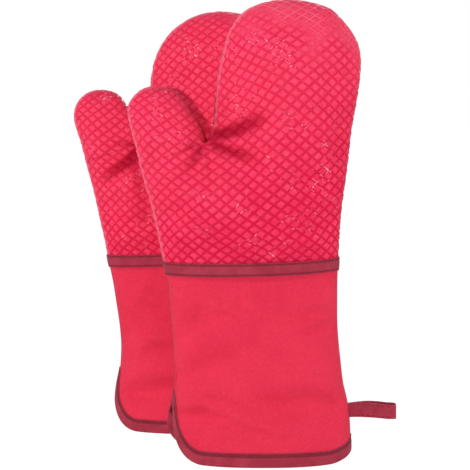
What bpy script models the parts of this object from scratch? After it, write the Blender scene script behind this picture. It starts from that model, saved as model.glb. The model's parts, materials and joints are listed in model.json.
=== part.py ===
"""A pair of long oven mitts: hand parts of cotton printed with a raised silicone grid, plain cotton cuffs,
wadding and towelling lining inside, taped joins, bound hems and hanging loops.

Metres, +Z up. The origin is at the bottom centre of the pair's box. Both mitts stand on their hems with
their thumbs towards -X. The front mitt's palm faces -Y, and the rear mitt's palm faces +Y.

A mitt has a frame of its own: x across it, z up from its hem, and its side seams in the plane y = 0. Each
of its layers is a palm half and a back half that meet in that plane.
"""

import math

import bmesh
import bpy
from mathutils import Vector

# The room between pieces that touch, and between a trim and what it covers.
CLEARANCE = 0.0003
TRIM_CLEARANCE = 0.00045

# Fabrics.
SHELL_THICKNESS = 0.001
WADDING_THICKNESS = 0.005
HEM_WADDING_THICKNESS = 0.0022
LINING_THICKNESS = 0.002
TRIM_THICKNESS = 0.0009

# Lengths from the hem up.
CUFF_LENGTH = 0.1405
REAR_CUFF_LENGTH = 0.1345
CROTCH_HEIGHT = 0.2322
THUMB_ROOT_HEIGHT = 0.213
FINGERS_LENGTH = 0.1028
LENGTH = CROTCH_HEIGHT + FINGERS_LENGTH

# Reaches from the mitt's upright axis to its thumb seam and to its little finger seam.
HEM_THUMB_REACH = 0.064
HEM_LITTLE_REACH = 0.065
WRIST_THUMB_REACH = 0.0705
WRIST_LITTLE_REACH = 0.0565
CROTCH_REACH = 0.0398
CROTCH_RADIUS = 0.002
THUMB_ROOT_REACH = 0.0885
KNUCKLE_LITTLE_REACH = 0.0646

# Half thicknesses.
HEM_HALF_THICKNESS = 0.031
WRIST_HALF_THICKNESS = 0.018
HAND_HALF_THICKNESS = 0.028
THUMB_HALF_THICKNESS = 0.02
FINGERTIP_HALF_THICKNESS = 0.0255

# Fingers: the fold is a level line above the crotch, and the tip is a dome.
FINGER_FOLD_RISE = 0.028
FINGER_HALF_WIDTH = 0.0515
FINGER_CENTRE = 0.0181
FINGER_LEAN = 0.0024
FINGERTIP_LENGTH = 0.052

# Thumb: the fold is square to the thumb, and the tip is a dome.
THUMB_FOLD_RISE = 0.0145
THUMB_STEM_LENGTH = 0.0357
THUMB_HALF_WIDTH = 0.0246
THUMBTIP_HALF_WIDTH = 0.0219
THUMBTIP_LENGTH = 0.0173
THUMB_LEAN = math.radians(20.6)
THUMBTIP_LEAN = math.radians(16)

# Hem: its binding, the notch at the thumb seam and the rise at the little finger seam.
BINDING_HEIGHT = 0.0095
NOTCH_WIDTH = 0.036
NOTCH_HEIGHT = 0.048
NOTCH_BINDING_TOP = 0.0025
SEAM_RISE = 0.008
SEAM_RISE_WIDTH = 0.03

# Tape over the join of hand part and cuff.
TAPE_HEIGHT = 0.0105

# Hanging loop: a folded tape, on edge.
LOOP_HEIGHT = 0.0342
LOOP_TAPE_WIDTH = 0.0106
LOOP_TAPE_THICKNESS = 0.0012
LOOP_LENGTH = 0.035
LOOP_HALF_GAP = 0.004
LOOP_SEAT_HALF_WIDTH = 0.0018

# The rear mitt's place from the front one's.
PAIR_STEP_X = -0.051
PAIR_STEP_Y = 0.1

# Where the columns of faces lie, as shares of the way over the thumb part and over the finger part.
THUMB_COLUMN_SHARES = (0, 0.05, 0.2, 0.55, 0.88, 1)
FINGER_COLUMN_SHARES = (0, 0.06, 0.2, 0.45, 0.72, 0.93, 1)
CROTCH_COLUMN = len(THUMB_COLUMN_SHARES) - 1
CROTCH_COLUMN_SHARE = 0.318
COLUMNS = range(CROTCH_COLUMN + len(FINGER_COLUMN_SHARES))

# Rows up the cuff: height, and way from hem size to wrist size at the thumb seam, little finger seam
# and middle.
CUFF_ROW_SHARES = (
    (0, 0, 0, 0),
    (0.4, 0, 0.66, 0.42),
    (0.71, 0.23, 1.08, 0.77),
    (1, 1, 1, 1),
)
# Rows up the hand: height, and way from wrist size to crotch size at the two seams and in the middle.
HAND_ROW_SHARES = (
    (0.25, 0.2, 0.02, 0.45),
    (0.5, 0.42, 0.25, 0.75),
    (0.75, 0.67, 0.65, 0.93),
    (0.9, 0.86, 0.86, 0.98),
    (1, 1, 1, 1),
)
WRIST_ROW = len(CUFF_ROW_SHARES) - 1
CROTCH_ROW = WRIST_ROW + len(HAND_ROW_SHARES)
HEM_ROUNDNESS = 2.0
HAND_ROUNDNESS = 2.3
THUMBTIP_ROUNDNESS = 2.0

# Under the crotch the hand part dips towards it.
DIP_SHARE = 0.4
CROTCH_SHIFT_SHARE = 0.5

# Rows between the crotch and a fold: way up the outer seam, and turn round the crotch.
THUMB_ROOT_ROWS = ((0.35, math.radians(-120)), (0.7, math.radians(-150)))
FINGER_ROOT_ROWS = ((0.12, math.radians(-48)), (0.3, math.radians(-6)))
ROOT_ROWS = len(THUMB_ROOT_ROWS)

# Turns up a tip's dome.
TIP_TURNS = (math.radians(28), math.radians(52), math.radians(74))

# Points of the hem between its columns, along the notch and along the rise.
NOTCH_STEP_SHARES = (0.05, 0.12, 0.34, 0.62, 0.8)
NOTCH_BINDING_SHARE = 0.29
SEAM_RISE_STEP_SHARES = (0.35, 0.7)
SEAM_RISE_POWER = 1.5
HEM_STEP_ROOM_SHARE = 0.02

# The loop seen from above: way along it, and share of its half gap, from the root to the far end.
LOOP_GAP_SHARES = ((0.16, 0.01), (0.36, 0.62), (0.6, 0.97), (0.8, 0.96))

# The faces of each layer: flat depth under the outer face, and how many waddings lie over it.
SHELL_FACES = ((0, 0), (SHELL_THICKNESS, 0))
WADDING_FACES = ((SHELL_THICKNESS + CLEARANCE, 0), (SHELL_THICKNESS + CLEARANCE, 1))
LINING_TOP = SHELL_THICKNESS + 2 * CLEARANCE
LINING_FACES = ((LINING_TOP, 1), (LINING_TOP + LINING_THICKNESS, 1))
TRIM_FACES = ((-TRIM_CLEARANCE - TRIM_THICKNESS, 0), (-TRIM_CLEARANCE, 0))
INNER_TRIM_TOP = LINING_TOP + LINING_THICKNESS + TRIM_CLEARANCE
INNER_TRIM_FACES = ((INNER_TRIM_TOP + TRIM_THICKNESS, 1), (INNER_TRIM_TOP, 1))

PALM = 1
BACK = -1

PRINTED_COTTON = ("printed_cotton", (0.80, 0.045, 0.105), 0.55)
PLAIN_COTTON = ("plain_cotton", (0.78, 0.030, 0.080), 0.9)
BURGUNDY_TAPE = ("burgundy_tape", (0.36, 0.033, 0.065), 0.85)
WADDING = ("wadding", (0.82, 0.80, 0.76), 0.95)
TOWELLING = ("towelling", (0.74, 0.05, 0.10), 0.95)


def mix(a, b, share):
    return a + (b - a) * share


def flat(x, z):
    return Vector((x, 0, z))


def lobe(share, roundness):
    """The swell of a padded section, from 0 at its seams to 1, at a share of the way across it."""
    off_centre = abs(2 * share - 1)
    return (1 - off_centre**roundness) ** (1 / roundness)


def wadding_at(height):
    """The wadding thins down to the hem."""
    share = min(1, height / (CUFF_ROW_SHARES[1][0] * CUFF_LENGTH))
    return mix(HEM_WADDING_THICKNESS, WADDING_THICKNESS, share)


def depth_at(face, height):
    flat_depth, waddings = face
    return flat_depth + waddings * wadding_at(height)


def column_share(column):
    """A column's share of the whole way across, and of its own part's way."""
    if column <= CROTCH_COLUMN:
        part = THUMB_COLUMN_SHARES[column]
        return part * CROTCH_COLUMN_SHARE, part
    part = FINGER_COLUMN_SHARES[column - CROTCH_COLUMN]
    return mix(CROTCH_COLUMN_SHARE, 1, part), part


def inset(left, right, depth):
    """Two seam points of a row, moved in along the row."""
    inward = (right - left).normalized() * depth
    return left + inward, right - inward


class Mitt:
    """The surfaces of one mitt. The palm half lies on the side that palm_side says, -1 or +1."""

    def __init__(self, cuff_length, palm_side):
        self.cuff_length = cuff_length
        self.palm_side = palm_side
        self.crotch = flat(-CROTCH_REACH, CROTCH_HEIGHT)
        self.crotch_centre = self.crotch + flat(0, CROTCH_RADIUS)
        self.thumb_root = flat(-THUMB_ROOT_REACH, THUMB_ROOT_HEIGHT)
        self.knuckle = flat(KNUCKLE_LITTLE_REACH, CROTCH_HEIGHT)
        self.finger_fold = flat(FINGER_CENTRE, CROTCH_HEIGHT + FINGER_FOLD_RISE)
        self.fingertip = flat(FINGER_CENTRE + FINGER_LEAN, LENGTH - FINGERTIP_LENGTH)
        self.thumb_across = flat(math.cos(THUMB_LEAN), math.sin(THUMB_LEAN))
        self.thumb_up = flat(-math.sin(THUMB_LEAN), math.cos(THUMB_LEAN))
        root_middle = (self.thumb_root + self.crotch) / 2
        self.thumb_fold = root_middle + self.thumb_up * THUMB_FOLD_RISE
        self.thumbtip = root_middle + self.thumb_up * THUMB_STEM_LENGTH
        self.thumbtip_across = flat(math.cos(THUMBTIP_LEAN), math.sin(THUMBTIP_LEAN))
        self.thumbtip_up = flat(-math.sin(THUMBTIP_LEAN), math.cos(THUMBTIP_LEAN))

    def place(self, point, swell, half):
        """Lift a point of the seam plane to the palm half or to the back half."""
        side = self.palm_side * half
        return Vector((point.x, side * (CLEARANCE / 2 + swell), point.z))

    def row_size(self, row):
        """Height, reaches, half thickness and roundness of a row of the trunk, and its share up the hand."""
        if row <= WRIST_ROW:
            height, thumb, little, middle = CUFF_ROW_SHARES[row]
            left = flat(
                -mix(HEM_THUMB_REACH, WRIST_THUMB_REACH, thumb), self.cuff_length * height
            )
            right = flat(
                mix(HEM_LITTLE_REACH, WRIST_LITTLE_REACH, little), self.cuff_length * height
            )
            crotch_way = mix(left, right, CROTCH_COLUMN_SHARE)
            half = mix(HEM_HALF_THICKNESS, WRIST_HALF_THICKNESS, middle)
            return left, crotch_way, right, half, mix(HEM_ROUNDNESS, HAND_ROUNDNESS, height), 0
        height, thumb, little, middle = HAND_ROW_SHARES[row - WRIST_ROW - 1]
        wrist_left, wrist_middle, wrist_right = self.row_size(WRIST_ROW)[:3]
        left = flat(
            mix(wrist_left.x, self.thumb_root.x, thumb), mix(wrist_left.z, self.thumb_root.z, height)
        )
        right = flat(
            mix(wrist_right.x, self.knuckle.x, little), mix(wrist_right.z, self.knuckle.z, height)
        )
        crotch_way = mix(wrist_middle, self.crotch, height)
        half = mix(WRIST_HALF_THICKNESS, HAND_HALF_THICKNESS, middle)
        return left, crotch_way, right, half, HAND_ROUNDNESS, height

    def trunk_point(self, row, column, face, half):
        """A point of the trunk, which runs from the hem to the crotch."""
        left, middle, right, thick, roundness, up = self.row_size(row)
        depth = depth_at(face, left.z)
        left = inset(left, middle, depth)[0]
        right = inset(middle, right, depth)[1]
        middle = middle - flat(0, depth * max(0, up - CROTCH_SHIFT_SHARE) / (1 - CROTCH_SHIFT_SHARE))
        whole, part = column_share(column)
        thumb_side = column <= CROTCH_COLUMN
        point = mix(left, middle, part) if thumb_side else mix(middle, right, part)
        lobe_half = THUMB_HALF_THICKNESS if thumb_side else HAND_HALF_THICKNESS
        dip = max(0, 1 - (1 - up) / DIP_SHARE) ** 2
        one = (thick - depth) * lobe(whole, roundness)
        two = (lobe_half - depth) * lobe(part, roundness)
        return self.place(point, mix(one, two, dip), half)

    def on_trunk(self, column, height, face, half):
        """The point of a column of the cuff or lower hand at a height."""
        for row in range(1, CROTCH_ROW):
            above = self.trunk_point(row, column, face, half)
            if above.z >= height:
                break
        below = self.trunk_point(row - 1, column, face, half)
        return mix(below, above, (height - below.z) / (above.z - below.z))

    def section(self, left, right, thick, shares, half, roundness=HAND_ROUNDNESS):
        return [
            self.place(mix(left, right, share), thick * lobe(share, roundness), half)
            for share in shares
        ]

    def thumb_fold_ends(self):
        reach = self.thumb_across * THUMB_HALF_WIDTH
        return self.thumb_fold - reach, self.thumb_fold + reach

    def finger_fold_ends(self):
        reach = flat(FINGER_HALF_WIDTH, 0)
        return self.finger_fold - reach, self.finger_fold + reach

    def round_crotch(self, turn, depth):
        reach = CROTCH_RADIUS + depth
        return self.crotch_centre + flat(reach * math.cos(turn), reach * math.sin(turn))

    def root_rows(self, part, face, half):
        """The rows of the hand between the crotch and the fold of the thumb or of the fingers."""
        depth = depth_at(face, LENGTH)
        if part == "thumb":
            ends, shares, root_rows = self.thumb_fold_ends(), THUMB_COLUMN_SHARES, THUMB_ROOT_ROWS
            outer, outer_end, thick = self.thumb_root, self.thumb_fold_ends()[0], THUMB_HALF_THICKNESS
        else:
            ends, shares, root_rows = self.finger_fold_ends(), FINGER_COLUMN_SHARES, FINGER_ROOT_ROWS
            outer, outer_end, thick = self.knuckle, self.finger_fold_ends()[1], HAND_HALF_THICKNESS
        rows = []
        for way, turn in root_rows:
            inner = self.round_crotch(turn, depth)
            seam = mix(outer, outer_end, way)
            seam = seam + (inner - seam).normalized() * depth
            left, right = (seam, inner) if part == "thumb" else (inner, seam)
            rows.append(self.section(left, right, thick - depth, shares, half))
        left, right = inset(*ends, depth)
        rows.append(self.section(left, right, thick - depth, shares, half))
        return rows

    def tip_rows(self, part, face, half):
        """The rows of the thumb or of the fingers, from the fold to the last one under the pole, and the pole."""
        depth = depth_at(face, LENGTH)
        if part == "thumb":
            ends, shares, thick = self.thumb_fold_ends(), THUMB_COLUMN_SHARES, THUMB_HALF_THICKNESS
            base, across, up = self.thumbtip, self.thumbtip_across, self.thumbtip_up
            wide, tall, roundness = THUMBTIP_HALF_WIDTH, THUMBTIP_LENGTH, THUMBTIP_ROUNDNESS
            tip_thick = THUMB_HALF_THICKNESS
        else:
            ends, shares, thick = self.finger_fold_ends(), FINGER_COLUMN_SHARES, HAND_HALF_THICKNESS
            base, across, up = self.fingertip, flat(1, 0), flat(0, 1)
            wide, tall, roundness = FINGER_HALF_WIDTH, FINGERTIP_LENGTH, HAND_ROUNDNESS
            tip_thick = FINGERTIP_HALF_THICKNESS
        left, right = inset(*ends, depth)
        rows = [self.section(left, right, thick - depth, shares, half)]
        for turn in (0, *TIP_TURNS):
            spread = math.cos(turn) ** (2 / roundness)
            centre = base + up * (tall - depth) * math.sin(turn) ** (2 / roundness)
            reach = across * (wide - depth) * spread
            row = self.section(
                centre - reach, centre + reach, (tip_thick - depth) * spread, shares, half
            )
            rows.append(row)
        return rows, self.place(base + up * (tall - depth), 0, half)

    def hem_way(self):
        """Each column's distance along the hem from the thumb seam."""
        ways = [0]
        points = [self.trunk_point(0, column, SHELL_FACES[0], PALM) for column in COLUMNS]
        for before, after in zip(points, points[1:]):
            ways.append(ways[-1] + (after - before).length)
        return ways

    def hem_steps(self):
        """Places along the hem, as a column and a share of the way to the next, with the way along it."""
        ways = self.hem_way()
        total = ways[-1]
        extra = [NOTCH_WIDTH * share for share in NOTCH_STEP_SHARES]
        extra.append(NOTCH_WIDTH * NOTCH_BINDING_SHARE)
        extra += [total - SEAM_RISE_WIDTH * share for share in SEAM_RISE_STEP_SHARES]
        room = total * HEM_STEP_ROOM_SHARE / 2
        steps = [(column, 0.0, way) for column, way in enumerate(ways)]
        for way in extra:
            if min(abs(way - other) for other in ways) < room:
                continue
            column = max(i for i in COLUMNS if ways[i] <= way)
            steps.append((column, (way - ways[column]) / (ways[column + 1] - ways[column]), way))
        return sorted(steps, key=lambda step: step[2]), total


def hem_height(way, total):
    """The hem's lower edge: a quarter of an ellipse at the thumb seam, and a rise at the other seam."""
    notch = max(0, 1 - way / NOTCH_WIDTH)
    rise = max(0, 1 - (total - way) / SEAM_RISE_WIDTH)
    return NOTCH_HEIGHT * (1 - math.sqrt(1 - notch**2)) + SEAM_RISE * rise**SEAM_RISE_POWER


def hem_wrap(way, total):
    """How far up the binding's fold reaches: its thickness, measured upright on the slope."""
    step = NOTCH_WIDTH * NOTCH_STEP_SHARES[0]
    fall = (hem_height(way, total) - hem_height(min(total, way + step), total)) / step
    slope = min(fall, NOTCH_HEIGHT / NOTCH_WIDTH)
    return TRIM_THICKNESS * math.sqrt(1 + slope**2)


def binding_top(way, total):
    """The binding's upper edge, which runs into the top of the notch."""
    level = hem_height(way, total) + BINDING_HEIGHT
    inner_width = NOTCH_WIDTH - BINDING_HEIGHT
    if way >= NOTCH_WIDTH:
        return level
    across = min(1, (NOTCH_WIDTH - way) / inner_width)
    inner_height = NOTCH_HEIGHT - BINDING_HEIGHT
    curve = NOTCH_HEIGHT - inner_height * math.sqrt(1 - across**2)
    corner = NOTCH_WIDTH * NOTCH_BINDING_SHARE
    ridge = mix(NOTCH_HEIGHT + NOTCH_BINDING_TOP, NOTCH_HEIGHT - BINDING_HEIGHT, way / corner)
    return min(curve, ridge) if way > 0 else ridge


def quad(a, b, c, d):
    return [(a, b, c), (a, c, d)]


def grid_faces(rows, columns):
    """Triangles between neighbouring rows of keys, all cut along the same diagonal."""
    faces = []
    for low, high in zip(rows, rows[1:]):
        for column, after in zip(columns, columns[1:]):
            faces += quad((low, column), (low, after), (high, after), (high, column))
    return faces


def make_object(name, mesh_data, material, parent):
    """Add an object made in the mitt's frame, under an empty that may stand elsewhere in that frame."""
    mesh = bpy.data.meshes.new(name)
    mesh_data.to_mesh(mesh)
    mesh_data.free()
    mesh.materials.append(material)
    mesh.shade_smooth()
    mesh.set_sharp_from_angle(angle=math.radians(40))
    made = bpy.data.objects.new(name, mesh)
    bpy.context.scene.collection.objects.link(made)
    made.parent = parent
    if parent.parent:
        made.location = -parent.location
    return made


def make_wall(name, faces, outer, inner, material, parent):
    """Close two like surfaces, given as points by key, into the wall between them."""
    built = bmesh.new()
    out = {key: built.verts.new(point) for key, point in outer.items()}
    into = {key: built.verts.new(point) for key, point in inner.items()}
    rim = {}
    for face in faces:
        built.faces.new([out[key] for key in face])
        built.faces.new([into[key] for key in reversed(face)])
        for start, end in zip(face, face[1:] + face[:1]):
            if (end, start) in rim:
                del rim[(end, start)]
            else:
                rim[(start, end)] = True
    for start, end in rim:
        for side in quad(out[end], out[start], into[start], into[end]):
            built.faces.new(side)
    bmesh.ops.recalc_face_normals(built, faces=built.faces)
    return make_object(name, built, material, parent)


def key_points(rows, names, first_column=0):
    """Name the points of some rows by row and column."""
    return {
        (name, first_column + i): point for name, row in zip(names, rows) for i, point in enumerate(row)
    }


def add_base_layer(mitt, name, faces_pair, half, rows, material, parent):
    """A layer of the trunk over some of its rows, with the roots of thumb and fingers above the crotch."""
    to_folds = rows[-1] == CROTCH_ROW
    surfaces = []
    hem, total = mitt.hem_way(), mitt.hem_way()[-1]
    for face in faces_pair:
        points = {}
        for row in rows:
            for column in COLUMNS:
                points[(row, column)] = mitt.trunk_point(row, column, face, half)
        if rows[0] == 0:
            for column in COLUMNS:
                way = hem[column]
                edge = hem_height(way, total) + hem_wrap(way, total) + TRIM_CLEARANCE
                points[(0, column)] = mitt.on_trunk(column, edge, face, half)
        if rows[0] == WRIST_ROW:
            for column in COLUMNS:
                points[(WRIST_ROW, column)].z += CLEARANCE / 2
        if rows[-1] == WRIST_ROW:
            for column in COLUMNS:
                points[(WRIST_ROW, column)].z -= CLEARANCE / 2
        if to_folds:
            thumb = mitt.root_rows("thumb", face, half)
            fingers = mitt.root_rows("fingers", face, half)
            thumb[-1] = [point - mitt.thumb_up * CLEARANCE / 2 for point in thumb[-1]]
            fingers[-1] = [point - flat(0, CLEARANCE / 2) for point in fingers[-1]]
            points.update(key_points(thumb, thumb_names()))
            points.update(key_points(fingers, finger_names(), CROTCH_COLUMN))
        surfaces.append(points)
    faces = grid_faces(rows, COLUMNS)
    if to_folds:
        for names, columns in (
            (thumb_names(), COLUMNS[: CROTCH_COLUMN + 1]),
            (finger_names(), COLUMNS[CROTCH_COLUMN:]),
        ):
            joined = grid_faces(("root", *names), columns)
            faces += [
                tuple((CROTCH_ROW, key[1]) if key[0] == "root" else key for key in face)
                for face in joined
            ]
    return make_wall(name, faces, surfaces[0], surfaces[1], material, parent)


def thumb_names():
    return [("thumb", i) for i in range(ROOT_ROWS + 1)]


def finger_names():
    return [("fingers", i) for i in range(ROOT_ROWS + 1)]


def add_tip_layer(mitt, part, name, faces_pair, half, material, parent):
    """A layer of the thumb or of the fingers, from the fold to the tip."""
    up = mitt.thumb_up if part == "thumb" else flat(0, 1)
    surfaces = []
    for face in faces_pair:
        rows, pole = mitt.tip_rows(part, face, half)
        rows[0] = [point + up * CLEARANCE / 2 for point in rows[0]]
        points = key_points(rows, range(len(rows)))
        points["pole"] = pole
        surfaces.append(points)
    columns = range(len(rows[0]))
    faces = grid_faces(range(len(rows)), columns)
    last = len(rows) - 1
    for column, after in zip(columns, columns[1:]):
        faces.append(((last, column), (last, after), "pole"))
    return make_wall(name, faces, surfaces[0], surfaces[1], material, parent)


def add_join_tape(mitt, name, half, material, parent):
    """The tape over the join, which lies on the hand part and on the cuff."""
    levels = [mitt.cuff_length + share * TAPE_HEIGHT for share in (-0.5, 0, 0.5)]
    surfaces = []
    for face in TRIM_FACES:
        rows = [
            [mitt.on_trunk(column, level, face, half) for column in COLUMNS] for level in levels
        ]
        surfaces.append(key_points(rows, range(len(rows))))
    faces = grid_faces(range(len(levels)), COLUMNS)
    return make_wall(name, faces, surfaces[0], surfaces[1], material, parent)


def add_hem_binding(mitt, name, half, material, parent):
    """The binding, folded round the hem's edges, from seam to seam."""
    steps, total = mitt.hem_steps()
    built = bmesh.new()
    sections = []
    for column, share, way in steps:
        low = hem_height(way, total)
        fold = low + hem_wrap(way, total)
        top = binding_top(way, total)
        corners = (
            (top, TRIM_FACES[0]),
            (low, TRIM_FACES[0]),
            (low, INNER_TRIM_FACES[0]),
            (top, INNER_TRIM_FACES[0]),
            (top, INNER_TRIM_FACES[1]),
            (fold, INNER_TRIM_FACES[1]),
            (fold, TRIM_FACES[1]),
            (top, TRIM_FACES[1]),
        )
        section = []
        for level, face in corners:
            point = mitt.on_trunk(column, level, face, half)
            if share:
                point = mix(point, mitt.on_trunk(column + 1, level, face, half), share)
            section.append(built.verts.new(point))
        sections.append(section)
    for before, after in zip(sections, sections[1:]):
        for i in range(len(before)):
            j = (i + 1) % len(before)
            for side in quad(before[i], before[j], after[j], after[i]):
                built.faces.new(side)
    for a, b, c, d, e, f, g, h in (sections[0], reversed(sections[-1])):
        for corners in ((a, b, g, h), (b, c, f, g), (c, d, e, f)):
            for side in quad(*corners):
                built.faces.new(side)
    bmesh.ops.recalc_face_normals(built, faces=built.faces)
    return make_object(name, built, material, parent)


def loop_root(mitt):
    """Where the hanging loop leaves the little finger seam."""
    low = LOOP_HEIGHT - LOOP_TAPE_WIDTH / 2
    return mitt.on_trunk(COLUMNS[-1], low, SHELL_FACES[0], PALM).x + CLEARANCE


def add_hanging_loop(mitt, name, material, parent):
    """A tape folded end to end, whose leaves part towards the far end."""
    start = loop_root(mitt)
    end = start + LOOP_LENGTH
    inner = [
        (mix(start, end, way), LOOP_HALF_GAP * gap) for way, gap in LOOP_GAP_SHARES
    ] + [(end - LOOP_TAPE_THICKNESS, LOOP_SEAT_HALF_WIDTH)]
    outer = [(start, LOOP_TAPE_THICKNESS)] + [
        (x, y + LOOP_TAPE_THICKNESS) for x, y in inner[1:-1]
    ] + [(end, LOOP_SEAT_HALF_WIDTH)]
    levels = (LOOP_HEIGHT - LOOP_TAPE_WIDTH / 2, LOOP_HEIGHT + LOOP_TAPE_WIDTH / 2)
    built = bmesh.new()
    rings = []
    for outline in (outer, inner):
        around = outline + [(x, -y) for x, y in reversed(outline)]
        rings.append(
            [[built.verts.new(Vector((x, y, level))) for x, y in around] for level in levels]
        )
    (outer_low, outer_high), (inner_low, inner_high) = rings
    count = len(outer_low)
    for i in range(count):
        j = (i + 1) % count
        for side in (
            quad(outer_low[i], outer_low[j], outer_high[j], outer_high[i])
            + quad(outer_high[i], outer_high[j], inner_high[j], inner_high[i])
            + quad(inner_high[i], inner_high[j], inner_low[j], inner_low[i])
            + quad(inner_low[i], inner_low[j], outer_low[j], outer_low[i])
        ):
            built.faces.new(side)
    bmesh.ops.recalc_face_normals(built, faces=built.faces)
    return make_object(name, built, material, parent)


def add_empty(name, parent, place):
    made = bpy.data.objects.new(name, None)
    bpy.context.scene.collection.objects.link(made)
    made.parent = parent
    made.location = place
    return made


def add_mitt(prefix, mitt, materials, parent):
    """One mitt: its base, its fingers and thumb above their folds, and its loop."""
    finger_fold = mitt.place(mitt.finger_fold, HAND_HALF_THICKNESS, PALM)
    thumb_fold = mitt.place(mitt.thumb_fold, THUMB_HALF_THICKNESS, PALM)
    fingers = add_empty(f"{prefix}_finger_fold", parent, finger_fold)
    thumb = add_empty(f"{prefix}_thumb_fold", parent, thumb_fold)
    loop = add_empty(f"{prefix}_loop_root", parent, Vector((loop_root(mitt), 0, LOOP_HEIGHT)))
    trunk = range(CROTCH_ROW + 1)
    hand = range(WRIST_ROW, CROTCH_ROW + 1)
    cuff = range(WRIST_ROW + 1)
    printed, plain = materials["printed_cotton"], materials["plain_cotton"]
    tape, wadding = materials["burgundy_tape"], materials["wadding"]
    towelling = materials["towelling"]
    layers = (
        ("panel", SHELL_FACES, printed),
        ("wadding", WADDING_FACES, wadding),
        ("lining", LINING_FACES, towelling),
    )
    for side, half in (("palm", PALM), ("back", BACK)):
        start = f"{prefix}_{side}"
        add_base_layer(mitt, f"{start}_panel", SHELL_FACES, half, hand, printed, parent)
        add_base_layer(mitt, f"{start}_cuff", SHELL_FACES, half, cuff, plain, parent)
        add_base_layer(mitt, f"{start}_wadding", WADDING_FACES, half, trunk, wadding, parent)
        add_base_layer(mitt, f"{start}_lining", LINING_FACES, half, trunk, towelling, parent)
        add_join_tape(mitt, f"{start}_join_tape", half, tape, parent)
        add_hem_binding(mitt, f"{start}_hem_binding", half, tape, parent)
        for part, fold in (("thumb", thumb), ("fingers", fingers)):
            for layer, faces_pair, material in layers:
                name = f"{prefix}_{part}_{side}_{layer}"
                add_tip_layer(mitt, part, name, faces_pair, half, material, fold)
    add_hanging_loop(mitt, f"{prefix}_hanging_loop", tape, loop)


def make_material(name, colour, roughness):
    made = bpy.data.materials.new(name)
    made.use_nodes = True
    shader = made.node_tree.nodes["Principled BSDF"]
    shader.inputs["Base Color"].default_value = (*colour, 1)
    shader.inputs["Roughness"].default_value = roughness
    shader.inputs["Metallic"].default_value = 0
    return made


def centre_pair(front, rear):
    """Move both mitts so that the pair's box has its bottom centre at the origin."""
    bpy.context.view_layer.update()
    corners = [
        made.matrix_world @ vertex.co
        for made in bpy.context.scene.objects
        if made.type == "MESH"
        for vertex in made.data.vertices
    ]
    middle_x = (min(c.x for c in corners) + max(c.x for c in corners)) / 2
    middle_y = (min(c.y for c in corners) + max(c.y for c in corners)) / 2
    for mitt in (front, rear):
        mitt.location -= Vector((middle_x, middle_y, 0))


def main():
    for made in list(bpy.context.scene.objects):
        bpy.data.objects.remove(made, do_unlink=True)
    kinds = (PRINTED_COTTON, PLAIN_COTTON, BURGUNDY_TAPE, WADDING, TOWELLING)
    materials = {kind[0]: make_material(*kind) for kind in kinds}
    front = add_empty("front_mitt", None, Vector((0, 0, 0)))
    rear = add_empty("rear_mitt", None, Vector((PAIR_STEP_X, PAIR_STEP_Y, 0)))
    add_mitt("front", Mitt(CUFF_LENGTH, -1), materials, front)
    add_mitt("rear", Mitt(REAR_CUFF_LENGTH, 1), materials, rear)
    centre_pair(front, rear)


main()
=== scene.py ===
"""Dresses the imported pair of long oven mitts: padded hand parts with a raised silicone grid, plain cuffs,
taped joins, bound hems, towelling linings, hanging loops and their stitching.

Metres, in the part's own frame. A mitt has a plan of its own, x across it and z up from its hem, that its
cloth was cut to. Its near side faces -Y and its far side faces +Y.
"""

import functools
import itertools
import json
import math

import bpy
import numpy as np
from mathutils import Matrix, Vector


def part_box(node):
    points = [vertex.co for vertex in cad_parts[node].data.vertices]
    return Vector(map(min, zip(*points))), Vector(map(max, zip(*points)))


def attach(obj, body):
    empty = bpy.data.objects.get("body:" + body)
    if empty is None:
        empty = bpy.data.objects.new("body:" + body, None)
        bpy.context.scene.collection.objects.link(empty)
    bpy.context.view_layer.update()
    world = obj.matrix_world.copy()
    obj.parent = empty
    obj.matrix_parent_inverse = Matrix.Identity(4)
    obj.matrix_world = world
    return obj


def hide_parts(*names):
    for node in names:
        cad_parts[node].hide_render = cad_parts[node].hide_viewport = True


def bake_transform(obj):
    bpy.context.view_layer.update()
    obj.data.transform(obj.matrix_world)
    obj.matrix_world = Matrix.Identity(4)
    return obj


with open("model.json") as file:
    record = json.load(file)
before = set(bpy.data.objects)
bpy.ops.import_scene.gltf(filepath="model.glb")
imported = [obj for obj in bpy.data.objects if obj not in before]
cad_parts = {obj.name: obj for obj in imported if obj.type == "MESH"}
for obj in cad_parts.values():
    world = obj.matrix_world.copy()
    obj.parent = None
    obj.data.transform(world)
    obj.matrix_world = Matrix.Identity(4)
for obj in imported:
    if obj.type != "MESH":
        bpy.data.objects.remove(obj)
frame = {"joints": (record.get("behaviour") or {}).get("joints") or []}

bl_info = {
    "name": "Oven Mitts",
    "version": (1, 0, 0),
    "blender": (4, 5, 0),
    "location": "3D View > Sidebar > Mitts",
    "description": "Makes a pair of padded oven mitts with silicone grids",
    "category": "Add Mesh",
}

MM = 0.001
NEAR, FAR = -1, 1
CUFF, HAND, THUMB = 0, 1, 2
PREFIXES = ("front", "rear")
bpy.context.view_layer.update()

# How a mitt is cut, in millimetres. Both mitts have the same last stretch of the thumb, from its tip down to
# the crotch, and the same stretch from the fingertips down to the knuckle.
THUMB_TOP = (
    (-66.4, 271.2), (-60, 266.8), (-55.4, 260.4), (-49.8, 253.3), (-45, 246.1), (-41.3, 239), (-39.8, 232.2),
)
FINGER_TOP = (
    (20.5, 335), (36, 333.2), (51.4, 328), (58.7, 320.5), (65, 313), (69.4, 306), (71.9, 298), (72.8, 290),
    (71.6, 276), (69.7, 262), (66.8, 247),
)

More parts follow.
